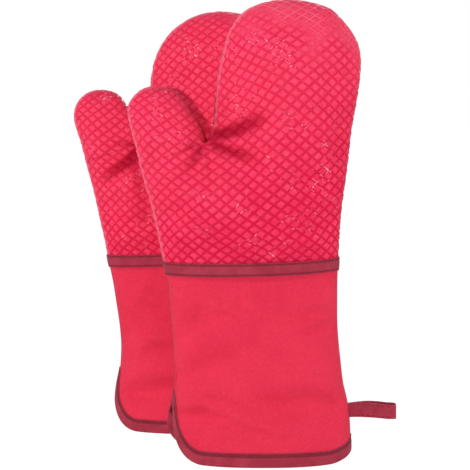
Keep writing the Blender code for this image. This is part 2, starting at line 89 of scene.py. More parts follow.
# The side from the hem past the thumb to the crotch, and the side from there past the fingers to the hem.
THUMB_SIDE = {
    "front": (
        (-64, 0), (-64.3, 20), (-64.4, 47), (-63.7, 60), (-64.4, 86.5), (-65.9, 102), (-68.1, 130.5),
        (-71.8, 146), (-76.2, 168), (-81.3, 190), (-84.7, 200.8), (-87.2, 209.6), (-91.1, 227),
        (-94.3, 239), (-97.1, 250), (-97.4, 258), (-93.5, 264.4), (-87.9, 270), (-77.6, 272.7), *THUMB_TOP,
    ),
    "rear": (
        (-64.8, 0), (-64.4, 20), (-63.2, 36), (-60.6, 53), (-60.3, 69), (-62, 85), (-64.4, 101),
        (-66.8, 117), (-70.4, 134), (-73, 150), (-76.8, 166), (-80, 182), (-83.9, 198), (-88, 213),
        (-92.4, 231), (-96, 241), (-98, 250), (-97, 258), (-93.4, 264.2), (-87.9, 269.6),
        (-78, 272.4), *THUMB_TOP,
    ),
}
FINGER_SIDE = {
    "front": (
        (-39.8, 232.2), (-36, 238), (-34.7, 246), (-33.6, 258), (-32.9, 269), (-31.5, 280), (-28.5, 295),
        (-24.1, 311), (-16.5, 323), (-8, 329.4), (6, 334), *FINGER_TOP, (64.8, 232), (63.5, 218),
        (61.5, 203), (59.4, 188), (57.9, 174), (57.1, 159), (56.6, 144), (56.1, 130), (56.1, 100), (57, 86),
        (58.7, 71), (60.3, 56), (62, 49), (63.8, 42), (65.5, 30), (66.2, 16), (66.4, 5), (66.4, 0),
    ),
    "rear": (
        (-39.8, 232.2), (-37.5, 238), (-36.8, 246), (-36.6, 258), (-36.4, 269), (-35.8, 280),
        (-33.2, 295), (-27, 309), (-18.5, 319.5), (-7, 328), (6, 333.2), *FINGER_TOP, (64.6, 232), (63, 218),
        (60.9, 203), (58.7, 188), (57.2, 174), (56.5, 159), (56.3, 144), (55.8, 130), (55.8, 100),
        (56.5, 86), (58, 71), (59.4, 56), (60.9, 49), (62.4, 42), (64.2, 30), (64, 16), (62.6, 5), (62.2, 0),
    ),
}
CUFF_LENGTH = {"front": 0.1405, "rear": 0.1345}

# Places in the plan: the thumb's root, the crotch and its share of the way across, the upright line through
# the middle of the fingers' fold, the way the thumb points, and the way its tip is looked for.
THUMB_ROOT_Z = 0.213
CROTCH_Z = 0.2322
CROTCH_SHARE = 0.318
FOLD_X = 0.0181
THUMB_UP = (-0.3518, 0.9361)
THUMBTIP_WAY = (-0.28, 0.96)

# How far below and above a fold's line a bend would reach. Nothing bends the pieces.
FINGER_BEND = (-0.001, 0.057)
THUMB_BEND = 0.029

# The side seams as a line of short pieces, run on below the hem. Close to them the reach from a point is
# the plain distance, and further in it is softened.
BELOW_HEM = 0.1
BORDER_STEP = 0.001
BORDER_BLUR = 0.0011
SOFT_FROM = 0.001
SOFT_OVER = 0.004

# Height and half thickness up the mitt in millimetres, how far in from a side seam it is reached, and how
# much slimmer the thumb is, from a place across and a place up.
HALF_THICKNESS = (
    (0, 33.5), (20, 30.5), (56, 25.8), (100, 21), (140, 18), (163, 22.5), (186, 25.5), (209, 27.3), (232, 28),
    (275, 27.4), (335, 25.5),
)
SWELL_REACH = 0.058
THUMB_SLIMNESS = 0.0034
SLIM_X, SLIM_OVER_X = -0.048, 0.022
SLIM_Z, SLIM_OVER_Z = 0.19, 0.045

# The mean face, for how much longer the filled cloth is than its plan.
FACE_HALF_THICKNESS = 0.027
FACE_ROUNDNESS = 2.3

# Unevenness of cuff and hand, its margins at the hem and the join with the ways it fades in over, how its
# waves are shifted on each mitt, and the half thickness below which it fades towards the side seams.
CUFF_RELIEF = 0.0017
HAND_RELIEF = 0.0006
RELIEF_MARGIN = 0.012
HAND_MARGIN = 0.008
RELIEF_OVER = 0.03
JOIN_OVER = 0.02
RELIEF_SHIFT = {"front": 0.7, "rear": 2.9}
RELIEF_FADE = 0.012

# The mesh of the skin before it is halved: columns of thumb and fingers with how far they are drawn towards
# the seams, rows of each part, and the share of a seam's point above which a halved point is on the seam.
THUMB_COLUMNS = 12
THUMB_PULL = 0.45
FINGER_COLUMNS = 25
FINGER_PULL = 0.4
CUFF_ROWS = 30
HAND_ROWS = 21
THUMB_ROWS = 16
FINGER_ROWS = 28
ON_SEAM = 0.99

# The chart that trims are laid on: its points round the cuff and up it, and how far it runs past both ends.
CHART_SIZE = (289, 84)
CHART_BELOW = 0.004
CHART_ABOVE = 0.02

# Depths under the outer face, and the least way from a layer inside to the plane of the side seams.
WADDING_DEPTH = 0.0057
LINING_DEPTH = 0.0066
LINING_FACE_DEPTH = 0.0084
HEM_DEPTH = 0.0058
HEM_THINNING = 0.056
SEAM_ROOM = 0.0002

# The bound hem: how far the skin's edge lies inside it, the binding's room inside the mitt and lift outside,
# the lift and bulge of its edge, and its tapered ends.
HEM_COVER = 0.0024
BINDING_ROOM = 0.0004
BINDING_LIFT = 0.0006
EDGE_LIFT = 0.0012
EDGE_BULGE = 0.0012
END_WIDTH = 0.65
END_TAPER = 30

# Tapes: their rounded edge, the gap that is merged where one closes on itself, how far they lie over the
# cloth, and the ways that their finish is laid over, round the join, round the hem and across the folded
# binding, with how much of the last counts by its seam.
TAPE_BEVEL = 0.0002
MERGE_GAP = 0.00002
TAPE_LIFT = 0.0003
JOIN_ROUND = 0.27
HEM_ROUND = 0.34
BINDING_WAY = 0.028
BINDING_SHARE = 0.6

# The hanging loop: its tape's thickness, how much thinner and lower than the CAD loop it is, the room over
# the CAD loop's foot, how much it grows, bows and drops towards its end, where its finish starts, and its
# rows of stitches with the spans along the tape that they cover.
LOOP_THICKNESS = 0.0011
LOOP_ROOM = 0.0003
LOOP_SLACK = 0.0002
LOOP_FOOT = 0.0003
LOOP_GROWTH = 0.03
LOOP_BOW = 0.0009
LOOP_DROP = 0.0004
LOOP_EDGE = 0.008
LOOP_ROWS = (0.13, 0.87)
LOOP_SPANS = ((0.11, 0.42), (0.58, 0.89))

# Stitches: how far in they run, where the tape's finish paints shade along them, the spans of the hem that
# they cover, how far they lie over their tapes, depth and width of the grooves they draw in, and a stitch's
# width and height.
STITCH_INSET = 0.0012
HEM_STITCH_INSET = 0.0019
SEAM_LINE = STITCH_INSET + 0.0002
HEM_SPANS = ((0.03, 0.488), (0.512, 0.97))
JOIN_THREAD_LIFT = 0.0001
HEM_THREAD_LIFT = 0.0003
LOOP_THREAD_LIFT = 0.00005
TAPE_GROOVE = (0.0005, 0.0008)
BINDING_GROOVE = (0.0004, 0.0011)
STITCH_WIDTH = 0.0009
STITCH_HEIGHT = 0.0006

# How the cloth settles: how much larger it is than its cut, its pressure, how long, how far a point may move,
# and the width over which its swelling is taken back, so that the wrinkles stay and the mitt keeps its
# thickness. It is held up to a height over the hem and on both sides of the join, and freed over a way.
CLOTH_EXCESS = 0.035
CLOTH_PRESSURE = 4.0
CLOTH_FRAMES = 20
CLOTH_LIMIT = 0.005
CLOTH_EVENING = 0.016
HELD_HEM = 0.012
HELD_JOIN = 0.0095
HELD_SEAM = 0.002
FREED_OVER = 0.02

# The hem's cut: width and height of the notch, the rise at the finger side, and the back panel's flare with
# the share across and the height that it fades to.
NOTCH = {"front": (0.036, 0.048), "rear": (0.0335, 0.046)}
SEAM_RISE = 0.0068
SEAM_RISE_WIDTH = 0.03
FLARE = {"front": 0.0055, "rear": 0.0015}
FLARE_SHARE = 0.42
FLARE_TOP, FLARE_OVER = 0.05, 0.03

# Painted shade in the folds and beside the crotch, and a painted highlight on the seams' rims: the fold depth
# that gets full painted shade, the painted shade's reach and strength beside the crotch, how many steps up
# the seams of thumb and fingers it runs, the least painted shade that is shown, and the rim highlight's
# reach.
FULL_SHADE_DEPTH = 0.012
CROTCH_PAINTED_SHADE = 0.45
CROTCH_PAINTED_SHADE_REACH = 0.0035
CROTCH_PAINTED_SHADE_STEPS = (80, 20)
LEAST_PAINTED_SHADE = 0.12
RIM_HIGHLIGHT_REACH = 0.0022

# Colours of the painted highlight on the seams' rims and of the painted shade in creases, and the pitch of
# the threads in both cottons and in the tape.
PAINTED_RIM_COLOUR = (1.0, 0.2, 0.3)
PAINTED_SHADE_COLOUR = (0.46, 0.002, 0.03)
PRINTED_PITCH = 0.00042
PLAIN_PITCH = 0.0004
RIB_PITCH = 0.0007

# The silicone grid: the way along each family of lines from crossing to crossing, on the flat cloth, how far
# the lines are shifted, the least step along a line, and a line's section in shares of its width and height.
CELL_SIDES = ((0.0050, -0.0035), (-0.00455, -0.0042))
GRID_SHIFT = 0.37
LINE_STEP = 0.0014
LINE_PROFILE = np.array([(-0.5, -0.35), (-0.38, 0.7), (0, 1), (0.38, 0.7), (0.5, -0.35)])

# Folds pressed into the near side: points, depth, then width to the left and to the right of the way along,
# in millimetres.
FOLDS = {
    "front": (
        (((-38, 234.4), (-30, 236.6), (-20, 239.6), (-8, 243.9), (12, 251.5)), 12.5, 8.0, 5.0),
        (((-38, 230.5), (-30, 228), (-20, 224.9), (-8, 220.8), (6, 215)), 9.5, 6.5, 4.5),
        (((-42, 229.4), (-49.4, 217.7), (-58, 206)), 7.0, 5.0, 5.5),
        (((-40, 228), (-38.8, 216), (-34, 200)), 3.6, 4.0, 4.5),
        (((-45, 232), (-54, 226), (-68, 220.6)), 4.5, 4.0, 5.0),
        (((-28.5, 248.5), (-24, 267.5), (-18, 290)), 2.4, 8.0, 8.0),
        (((-76, 200), (-50, 190), (-20, 196)), 1.6, 7.0, 7.0),
    ),
    "rear": (
        (((-43, 226), (-54.7, 214.6), (-67.6, 203.3), (-80, 196)), 11.0, 7.0, 6.5),
        (((-46, 228), (-61.2, 229.5), (-72, 223)), 6.0, 4.5, 4.5),
        (((-50, 222), (-43.3, 201.6), (-38.5, 182.2), (-36, 155)), 6.0, 8.0, 9.0),
        (((-39, 233), (-30, 240), (-14, 247)), 7.0, 6.0, 7.0),
        (((-66, 176), (-52, 168), (-30, 170)), 2.2, 6.0, 6.0),
    ),
}

# The half thickness below which folds fade towards the side seams, and what they leave of it at least.
FOLD_FADE = 0.009
FOLD_ROOM = 0.0005

# Slow turns of the cloth under its print: middle in millimetres, turn in degrees, reach in millimetres.
TURNS = {
    "front": ((-74, 250, 12, 30), (-6, 273, -10, 34), (-48, 177, 6, 34)),
    "rear": ((-78, 250, 9, 30), (-44, 190, 8, 34)),
}

# How far the join runs over the cuff's length at the thumb side and at the finger side, and its sag.
JOIN = {"front": (-0.0006, 0.0026, 0.0016), "rear": (0.0, 0.0045, 0)}

# Lamps: name, place, what they aim at, size and power. The pale surroundings light the mitts faintly.
LAMPS = (
    ("key", (-0.125, -1.59, 0.25), (0, 0, 0.2), 0.04, 12.6),
    ("left", (-1.4, -0.1, 0.45), (0, 0, 0.15), 0.9, 8),
    ("right", (1.4, -0.1, 0.45), (0, 0, 0.15), 0.9, 8),
    ("overhead", (-0.25, -0.9, 1.55), (0, 0, 0.2), 0.6, 9),
    ("back", (0.35, 1.6, 0.7), (0, 0, 0.2), 0.8, 15),
)
AMBIENT = 0.045
FLOOR_SIZE = 60
FLOOR_DROP = 0.0004
FLOOR_SHARE = 0.94
FLOOR_GLOW = 1.08

# The camera, with its dip under the level in degrees.
CAMERA_PLACE = (0.0067, -0.9905, 0.2462)
CAMERA_DIP = 2.537
CAMERA_LENS = 98.73
CAMERA_SHIFT = -0.1185
CAMERA_NEAR = 0.05


def length_property(name, description, default):
    return bpy.props.FloatProperty(
        name=name, description=description, default=default, unit="LENGTH", precision=5
    )


class MittSizes(bpy.types.PropertyGroup):
    """Sizes that a user might change."""

    line_width: length_property("Grid line width", "Width of a silicone line", 0.0014)
    line_height: length_property("Grid line height", "How far a silicone line stands up", 0.0004)
    tape_height: length_property("Tape height", "Width of the tape over the join", 0.0100)
    binding_height: length_property("Binding height", "Width of the hem binding", 0.0092)
    tape_thickness: length_property("Tape thickness", "Thickness of tape and binding", 0.0007)
    stitch_length: length_property("Stitch length", "Length of one stitch", 0.0024)
    stitch_gap: length_property("Stitch gap", "Gap between two stitches", 0.0009)


def colour_property(name, description, default):
    return bpy.props.FloatVectorProperty(
        name=name, description=description, default=default, size=3, min=0, max=1, subtype="COLOR"
    )


class MittColours(bpy.types.PropertyGroup):
    """Colours that a user might change."""

    printed: colour_property("Printed cotton", "Cotton between the silicone lines", (0.88, 0.037, 0.108))
    silicone: colour_property("Silicone", "Raised silicone lines", (0.66, 0.011, 0.054))
    plain: colour_property("Plain cotton", "Cotton of the cuffs", (0.74, 0.022, 0.066))
    tape: colour_property("Tape", "Tape, binding and loops", (0.345, 0.021, 0.047))
    towelling: colour_property("Towelling", "Lining inside", (0.72, 0.045, 0.09))


def sizes():
    return bpy.context.scene.mitt_sizes


def colours():
    return bpy.context.scene.mitt_colours


# Cutting


def evened_line(line, weights):
    """A line in the plan whose points are averaged with their neighbours; its ends stay."""
    half = len(weights) // 2
    longer = np.concatenate([2 * line[0] - line[half:0:-1], line, 2 * line[-1] - line[-2 : -half - 2 : -1]])
    return np.stack([np.convolve(longer[:, k], weights, "valid") for k in (0, 1)], 1)


def rounded_line(points, spacing=0.5, spread=2.6):
    """An evenly spaced line through points in millimetres, gently rounded, whose ends stay."""
    points = np.array(points, float)
    ways = np.concatenate([[0], np.cumsum(np.hypot(*np.diff(points, axis=0).T))])
    steps = np.linspace(0, ways[-1], int(round(ways[-1] / spacing)) + 1)
    line = np.stack([np.interp(steps, ways, points[:, k]) for k in (0, 1)], 1)
    half = int(4 * spread / spacing)
    weights = np.exp(-0.5 * (np.arange(-half, half + 1) * spacing / spread) ** 2)
    return evened_line(line, weights / weights.sum()) * MM


def ways_along(line):
    return np.concatenate([[0], np.cumsum(np.linalg.norm(np.diff(line, axis=0), axis=1))])


def point_at(line, ways, way):
    return np.stack([np.interp(way, ways, line[:, k]) for k in range(line.shape[1])], -1)


def smooth_step(value):
    value = np.clip(value, 0, 1)
    return value * value * (3 - 2 * value)


def even_shares(count, pull):
    """Shares from 0 to 1, drawn towards both ends by pull."""
    even = np.linspace(0, 1, count + 1)
    return even * (1 - pull) + (1 - np.cos(np.pi * even)) / 2 * pull


class Plan:
    """What a mitt is cut to, and the surface that its padding fills it out to."""

    def __init__(self, prefix):
        self.prefix = prefix
        fold = next(j for j in frame["joints"] if j["name"] == f"{prefix}_fingers_fold")
        palm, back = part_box(f"{prefix}_palm_panel"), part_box(f"{prefix}_back_panel")
        middle_y = (min(palm[0].y, back[0].y) + max(palm[1].y, back[1].y)) / 2
        self.origin = np.array([fold["pos_m"][0] - FOLD_X, middle_y, 0])
        self.thumb_side = rounded_line(THUMB_SIDE[prefix])
        self.finger_side = rounded_line(FINGER_SIDE[prefix])
        self.root_index = int(np.argmax(self.thumb_side[:, 1] >= THUMB_ROOT_Z))
        self.thumb_tip = int(np.argmax(self.thumb_side @ np.array(THUMBTIP_WAY)))
        self.finger_tip = int(np.argmax(self.finger_side[:, 1]))
        self.knuckle = self.finger_tip + int(np.argmax(self.finger_side[self.finger_tip :, 1] <= CROTCH_Z))
        self.cuff_length = CUFF_LENGTH[prefix]
        self.prepare_border()

    def prepare_border(self):
        """Short pieces of the side seams with their outward directions, run on below the hem."""
        low = np.arange(-BELOW_HEM, 0, BORDER_STEP)
        left = np.stack([np.full(len(low), self.thumb_side[0, 0]), low], 1)
        right = np.stack([np.full(len(low), self.finger_side[-1, 0]), low[::-1]], 1)
        line = np.concatenate([left, self.thumb_side[::2], self.finger_side[2::2], right])
        step = np.diff(line, axis=0)
        self.border = (line[:-1] + line[1:]) / 2
        self.border_length = np.linalg.norm(step, axis=1)
        self.border_out = np.stack([-step[:, 1], step[:, 0]], 1) / self.border_length[:, None]

    def left(self, z):
        part = self.thumb_side[: self.root_index + 1]
        return np.interp(z, part[:, 1], part[:, 0])

    def right(self, z):
        part = self.finger_side[self.knuckle :][::-1]
        return np.interp(z, part[:, 1], part[:, 0])

    def join_height(self, share):
        low, high, sag = JOIN[self.prefix]
        share = np.asarray(share, float)
        return self.cuff_length + low + (high - low) * share - 4 * sag * share * (1 - share)

    def reach_in(self, flat_points):
        """How far each point of the plan is from the side seams, softened, and the way out to them."""
        reach, out = np.empty(len(flat_points)), np.empty((len(flat_points), 2))
        block = 2000
        for start in range(0, len(flat_points), block):
            some = slice(start, start + block)
            away = flat_points[some, None] - self.border[None]
            square = (away**2).sum(-1)
            nearest = self.to_border(away, square.argmin(1))
            square = np.maximum(square, BORDER_BLUR**2)
            soft = (2 / math.pi * (self.border_length / square**2).sum(1)) ** (-1 / 3)
            mix = smooth_step((nearest - SOFT_FROM) / SOFT_OVER)
            reach[some] = nearest * (1 - mix) + soft * mix
            pull = self.border_length / square**3
            out[some] = (pull[..., None] * self.border_out).sum(1) / pull.sum(1)[:, None]
        return reach, out

    def to_border(self, away, closest):
        """Distance to the short pieces round the closest one."""
        found = []
        for step in (-1, 0, 1):
            piece = np.clip(closest + step, 0, len(self.border) - 1)
            gap, out = away[np.arange(len(away)), piece], self.border_out[piece]
            across = (gap * out).sum(1)
            along = np.abs(gap[:, 0] * out[:, 1] - gap[:, 1] * out[:, 0])
            found.append(np.hypot(across, np.maximum(along - self.border_length[piece] / 2, 0)))
        return np.min(found, 0)

    def swell(self, x, z, reach):
        """Half thickness of the filled mitt."""
        height, half = np.array(HALF_THICKNESS).T * MM
        slim_across = smooth_step((SLIM_X - x) / SLIM_OVER_X)
        slim_up = smooth_step((z - SLIM_Z) / SLIM_OVER_Z)
        thick = np.interp(z, height, half) - THUMB_SLIMNESS * slim_across * slim_up
        roundness = 2 + 0.5 * smooth_step(z / self.cuff_length)
        inward = 1 - np.clip(reach / SWELL_REACH, 0, 1)
        return thick * (1 - inward**roundness) ** (1 / roundness)

    def hem_length(self):
        """Ways from the thumb seam along the hem's line, at even shares across."""
        share = (1 - np.cos(np.linspace(0, np.pi, 400))) / 2
        x = self.left(0) + (self.right(0) - self.left(0)) * share
        flat_points = np.stack([x, np.zeros_like(x)], 1)
        y = self.swell(x, np.zeros_like(x), self.reach_in(flat_points)[0])
        y[[0, -1]] = 0
        return share, ways_along(np.stack([x, y], 1))

    @functools.cached_property
    def hem_table(self):
        return self.hem_length()

    def hem_height(self, share):
        shares, ways = self.hem_table
        way = np.interp(share, shares, ways)
        wide, high = NOTCH[self.prefix]
        notch = np.clip(1 - way / wide, 0, 1)
        rise = np.clip(1 - (ways[-1] - way) / SEAM_RISE_WIDTH, 0, 1)
        return high * (1 - np.sqrt(1 - notch**2)) + SEAM_RISE * rise**1.5

    def relief(self, x, z):
        """Soft unevenness of a side, as a height over the filled shape: waves across each other."""
        shift = RELIEF_SHIFT[self.prefix]
        above_hem = smooth_step((z - RELIEF_MARGIN) / RELIEF_OVER)
        cuff = smooth_step((self.cuff_length - RELIEF_MARGIN - z) / JOIN_OVER) * above_hem
        hand = smooth_step((z - self.cuff_length - HAND_MARGIN) / RELIEF_OVER)
        broad = np.sin(95 * z + 26 * x + shift) * np.sin(41 * x - 17 * z + 1.3 * shift)
        slanting = np.sin(190 * z - 55 * x + 2.1 * shift + 3 * np.sin(40 * x)) * np.sin(52 * x + shift)
        patches = smooth_step(0.5 + 0.7 * np.sin(33 * x + 60 * z + shift))
        fine = np.sin(430 * z + 34 * x + 2.6 * np.sin(58 * x + shift)) * patches
        soft = np.sin(120 * z - 75 * x + shift) * np.sin(85 * x + 60 * z - shift)
        return CUFF_RELIEF * (broad + 0.6 * slanting + 0.45 * fine) * cuff + HAND_RELIEF * soft * hand

    def fold_depth(self, flat_points):
        """How deep the folds are pressed in. Each starts narrow and deep, and runs out wide and shallow."""
        depth = np.zeros(len(flat_points))
        for points, deep, *wide in FOLDS[self.prefix]:
            line = rounded_line(points, 0.7, 1.4)
            ahead = np.gradient(line, axis=0)
            gap = flat_points[:, None] - line[None]
            away = np.linalg.norm(gap, axis=-1)
            nearest, index = away.min(1), away.argmin(1)
            beside = gap[np.arange(len(gap)), index]
            right = ahead[index, 0] * beside[:, 1] - ahead[index, 1] * beside[:, 0] < 0
            way = index / (len(line) - 1)
            fade = (1 - way**2.2) * smooth_step(way * 6 + 0.35)
            width = np.where(right, wide[1], wide[0]) * MM * (0.45 + 0.75 * way)
            depth += deep * MM * fade * np.exp(-((nearest / width) ** 2))
        return depth

    def flare(self, share, z, side):
        """How far the back panel stands out beside the notch."""
        if side != self.back_side():
            return np.zeros_like(z)
        near_notch = np.clip(1 - share / FLARE_SHARE, 0, 1) ** 2
        return FLARE[self.prefix] * near_notch * smooth_step((FLARE_TOP - z) / FLARE_OVER)

    def back_side(self):
        return FAR if self.prefix == "front" else NEAR

    def cuff_point(self, share, z, side):
        """Points of the cuff's outer face, at a share of the way across and a height."""
        left, right = self.left(z), self.right(z)
        x = left + (right - left) * share
        flat_points = np.stack([x, z], -1)
        reach = self.reach_in(flat_points)[0]
        y = self.swell(x, z, reach)
        y = y + self.relief(x, z) * np.clip(y / RELIEF_FADE, 0, 1)
        y = np.where((share <= 0) | (share >= 1), 0, y)
        return np.stack([x - self.flare(share, z, side), side * y, z], -1)

    @functools.cached_property
    def cuff_chart(self):
        """The cuff's outer face all round, by turn and height, with its normals."""
        turns = np.linspace(0, 2 * np.pi, CHART_SIZE[0])
        heights = np.linspace(-CHART_BELOW, self.cuff_length + CHART_ABOVE, CHART_SIZE[1])
        points = np.empty((len(turns), len(heights), 3))
        for i, turn in enumerate(turns):
            share = np.full(len(heights), (1 - math.cos(turn)) / 2)
            points[i] = self.cuff_point(share, heights, NEAR if turn <= np.pi else FAR)
        across = np.roll(points[:-1], -1, 0) - np.roll(points[:-1], 1, 0)
        across = np.concatenate([across, across[:1]])
        up = np.gradient(points, axis=1)
        normals = np.cross(across, up)
        normals /= np.linalg.norm(normals, axis=-1)[..., None]
        return turns, heights, points, normals

    def on_cuff(self, turn, z, depth=0.0):
        """Points at turns round the cuff, from the thumb seam, and at heights, at a depth under its face."""
        turns, heights, points, normals = self.cuff_chart
        turn, z, depth = np.broadcast_arrays(np.asarray(turn, float), z, depth)
        i = np.clip(np.mod(turn, 2 * np.pi) / turns[1], 0, len(turns) - 1.001)
        j = np.clip((z - heights[0]) / (heights[1] - heights[0]), 0, len(heights) - 1.001)
        a, b = i.astype(int), j.astype(int)
        s, t = (i - a)[..., None], (j - b)[..., None]

        def read(table):
            low = table[a, b] * (1 - s) + table[a + 1, b] * s
            high = table[a, b + 1] * (1 - s) + table[a + 1, b + 1] * s
            return low * (1 - t) + high * t

        normal = read(normals)
        normal /= np.linalg.norm(normal, axis=-1)[..., None]
        return read(points) - normal * depth[..., None], normal


def only(made):
    """Select one object alone and make it active."""
    bpy.ops.object.select_all(action="DESELECT")
    made.select_set(True)
    bpy.context.view_layer.objects.active = made


def add_object(name, mesh):
    """A new object in the scene, alone selected."""
    made = bpy.data.objects.new(name, mesh)
    bpy.context.scene.collection.objects.link(made)
    only(made)
    return made


def places_in(mesh):
    """The points of a mesh as an array."""
    points = np.empty(len(mesh.vertices) * 3)
    mesh.vertices.foreach_get("co", points)
    return points.reshape(-1, 3)


def write_cloth(mesh, layer, cloth):
    """Give each point's place on the flat cloth to a UV layer."""
    corners = np.empty(len(mesh.loops), np.int32)
    mesh.loops.foreach_get("vertex_index", corners)
    layer.data.foreach_set("uv", np.asarray(cloth)[corners].astype(np.float32).ravel())


def write_values(mesh, name, values):
    mesh.attributes.new(name, "FLOAT", "POINT").data.foreach_set("value", np.asarray(values, np.float32))


@functools.lru_cache(None)
def plan(prefix):
    return Plan(prefix)


class Skin:
    """A mitt's whole outer face as quads: points, normals, places on the flat cloth, and each quad's part."""

    def __init__(self, prefix):
        self.plan = plan(prefix)
        self.prefix = prefix
        self.make_coarse()
        self.refine()
        self.press_folds()

    def rows(self):
        """The plan's points by row, the trunk and then thumb and fingers without their poles, and the share
        across of each column."""
        cut = self.plan
        thumb_shares = even_shares(THUMB_COLUMNS, THUMB_PULL)
        finger_shares = even_shares(FINGER_COLUMNS, FINGER_PULL)
        beyond = CROTCH_SHARE + finger_shares[1:] * (1 - CROTCH_SHARE)
        across = np.concatenate([thumb_shares * CROTCH_SHARE, beyond])
        hem = cut.hem_height(across) + HEM_COVER
        join = cut.join_height(across)
        trunk = []
        for up in np.linspace(0, 1, CUFF_ROWS + 1):
            z = hem + (join - hem) * up
            trunk.append(np.stack([cut.left(z) + (cut.right(z) - cut.left(z)) * across, z], 1))
        crotch = cut.finger_side[0]
        low_left = np.array([cut.left(join[0]), join[0]])
        low_right = np.array([cut.right(join[-1]), join[-1]])
        middle = low_left + (low_right - low_left) * CROTCH_SHARE
        for up in np.linspace(0, 1, HAND_ROWS + 1)[1:]:
            left_z = join[0] + (THUMB_ROOT_Z - join[0]) * up
            right_z = join[-1] + (CROTCH_Z - join[-1]) * up
            left, right = np.array([cut.left(left_z), left_z]), np.array([cut.right(right_z), right_z])
            if up == 1:
                left, right = cut.thumb_side[cut.root_index], cut.finger_side[cut.knuckle]
            centre = middle + (crotch - middle) * up
            trunk.append(np.concatenate([
                left + (centre - left) * thumb_shares[:, None],
                (centre + (right - centre) * finger_shares[:, None])[1:],
            ]))
        outer, inner = cut.thumb_side[cut.root_index : cut.thumb_tip + 1], cut.thumb_side[cut.thumb_tip :]
        thumb = self.dome_rows(outer, inner[::-1], thumb_shares, THUMB_ROWS)
        inner = cut.finger_side[: cut.finger_tip + 1]
        outer = cut.finger_side[cut.finger_tip : cut.knuckle + 1]
        fingers = self.dome_rows(inner, outer[::-1], finger_shares, FINGER_ROWS)
        return trunk, thumb, fingers, across

    def dome_rows(self, left, right, shares, count):
        """Rows from one side to the other, each at the same share of both sides' ways to the tip."""
        left_ways, right_ways = ways_along(left), ways_along(right)
        rows = []
        for up in np.linspace(0, 1, count + 1)[1:-1]:
            a = point_at(left, left_ways, left_ways[-1] * up)
            b = point_at(right, right_ways, right_ways[-1] * up)
            rows.append(a + (b - a) * shares[:, None])
        return rows

    def make_coarse(self):
        """Joins the plan's rows to quads for both sides, which share the points on the side seams."""
        cut = self.plan
        trunk, thumb, fingers, across = self.rows()
        last, ends = len(trunk) - 1, len(across) - 1
        flat_points, shares, seams, sides, keys = [], [], [], [], {}

        def add(kind, i, j, side, point, seam, share=0.5):
            key = (kind, i, j, 0 if seam else side)
            if key not in keys:
                keys[key] = len(flat_points)
                flat_points.append(point)
                seams.append(seam)
                sides.append(side)
                shares.append(share)
            return keys[key]

        def on_seam(i, j):
            return j in (0, ends) or (i == last and j == THUMB_COLUMNS)

        quads, parts = [], []
        for side in (NEAR, FAR):
            base = [
                [add("trunk", i, j, side, p, on_seam(i, j), across[j]) for j, p in enumerate(row)]
                for i, row in enumerate(trunk)
            ]
            grids = [(base[: CUFF_ROWS + 1], None, CUFF), (base[CUFF_ROWS:], None, HAND)]
            for part, rows, tip, first, stop in (
                (THUMB, thumb, cut.thumb_side[cut.thumb_tip], 0, THUMB_COLUMNS),
                (HAND, fingers, cut.finger_side[cut.finger_tip], THUMB_COLUMNS, ends),
            ):
                grid = [base[last][first : stop + 1]]
                for i, row in enumerate(rows):
                    grid.append([add(part, i, j, side, p, j in (0, len(row) - 1)) for j, p in enumerate(row)])
                grids.append((grid, add(part, -1, 0, side, tip, True), part))
            for grid, pole, part in grids:
                faces = []
                for low, high in zip(grid, grid[1:]):
                    faces += [[low[j], low[j + 1], high[j + 1], high[j]] for j in range(len(low) - 1)]
                if pole is not None:
                    faces += [[a, b, pole] for a, b in zip(grid[-1], grid[-1][1:])]
                quads += [face if side == NEAR else face[::-1] for face in faces]
                parts += [part] * len(faces)
        self.faces, self.parts = quads, parts
        tables = {"seam": seams, "side": sides, "share": shares}
        self.tables = {name: np.array(values, float) for name, values in tables.items()}
        self.coarse = np.array(flat_points)
        self.settle(self.coarse)
        self.tables.update(zip("xyz", self.settled.T))

    def refine(self):
        """Halves the coarse quads and lays the finer points on the filled shape."""
        mesh = bpy.data.meshes.new("skin")
        mesh.from_pydata([(x, 0, z) for x, z in self.coarse.tolist()], [], self.faces)
        mesh.polygons.foreach_set("material_index", np.array(self.parts, np.int32))
        for name, values in self.tables.items():
            write_values(mesh, name, values)
        for name in ("cuff", "hand", "thumb"):
            mesh.materials.append(bpy.data.materials.new(name))
        made = add_object("skin", mesh)
        finer = made.modifiers.new("finer", "SUBSURF")
        finer.subdivision_type, finer.levels, finer.render_levels = "SIMPLE", 1, 1
        bpy.ops.object.modifier_apply(modifier=finer.name)
        flat_points = places_in(made.data)[:, [0, 2]]
        self.quads = np.array([p.vertices[:] for p in made.data.polygons])
        self.part = np.array([p.material_index for p in made.data.polygons])
        tables = {}
        for name in self.tables:
            tables[name] = np.empty(len(flat_points), np.float32)
            made.data.attributes[name].data.foreach_get("value", tables[name])
        self.seam = tables["seam"] > ON_SEAM
        self.side = np.where(self.seam, 0, np.sign(tables["side"]))
        self.settled = self.evened(np.stack([tables[k] for k in "xyz"], 1))
        self.set_points(flat_points, tables["share"])
        bpy.data.objects.remove(made)
        bpy.data.meshes.remove(mesh)

    def evened(self, values):
        """Values at the points, averaged with their neighbours; those on seams stay."""
        total, count = np.zeros_like(values, dtype=float), np.zeros(len(values))
        for k in range(4):
            for step in (1, 2, 3):
                np.add.at(total, self.quads[:, k], values[self.quads[:, (k + step) % 4]])
                np.add.at(count, self.quads[:, k], 1)
        return np.where(self.seam[:, None], values, (values + total / count[:, None]) / 2)

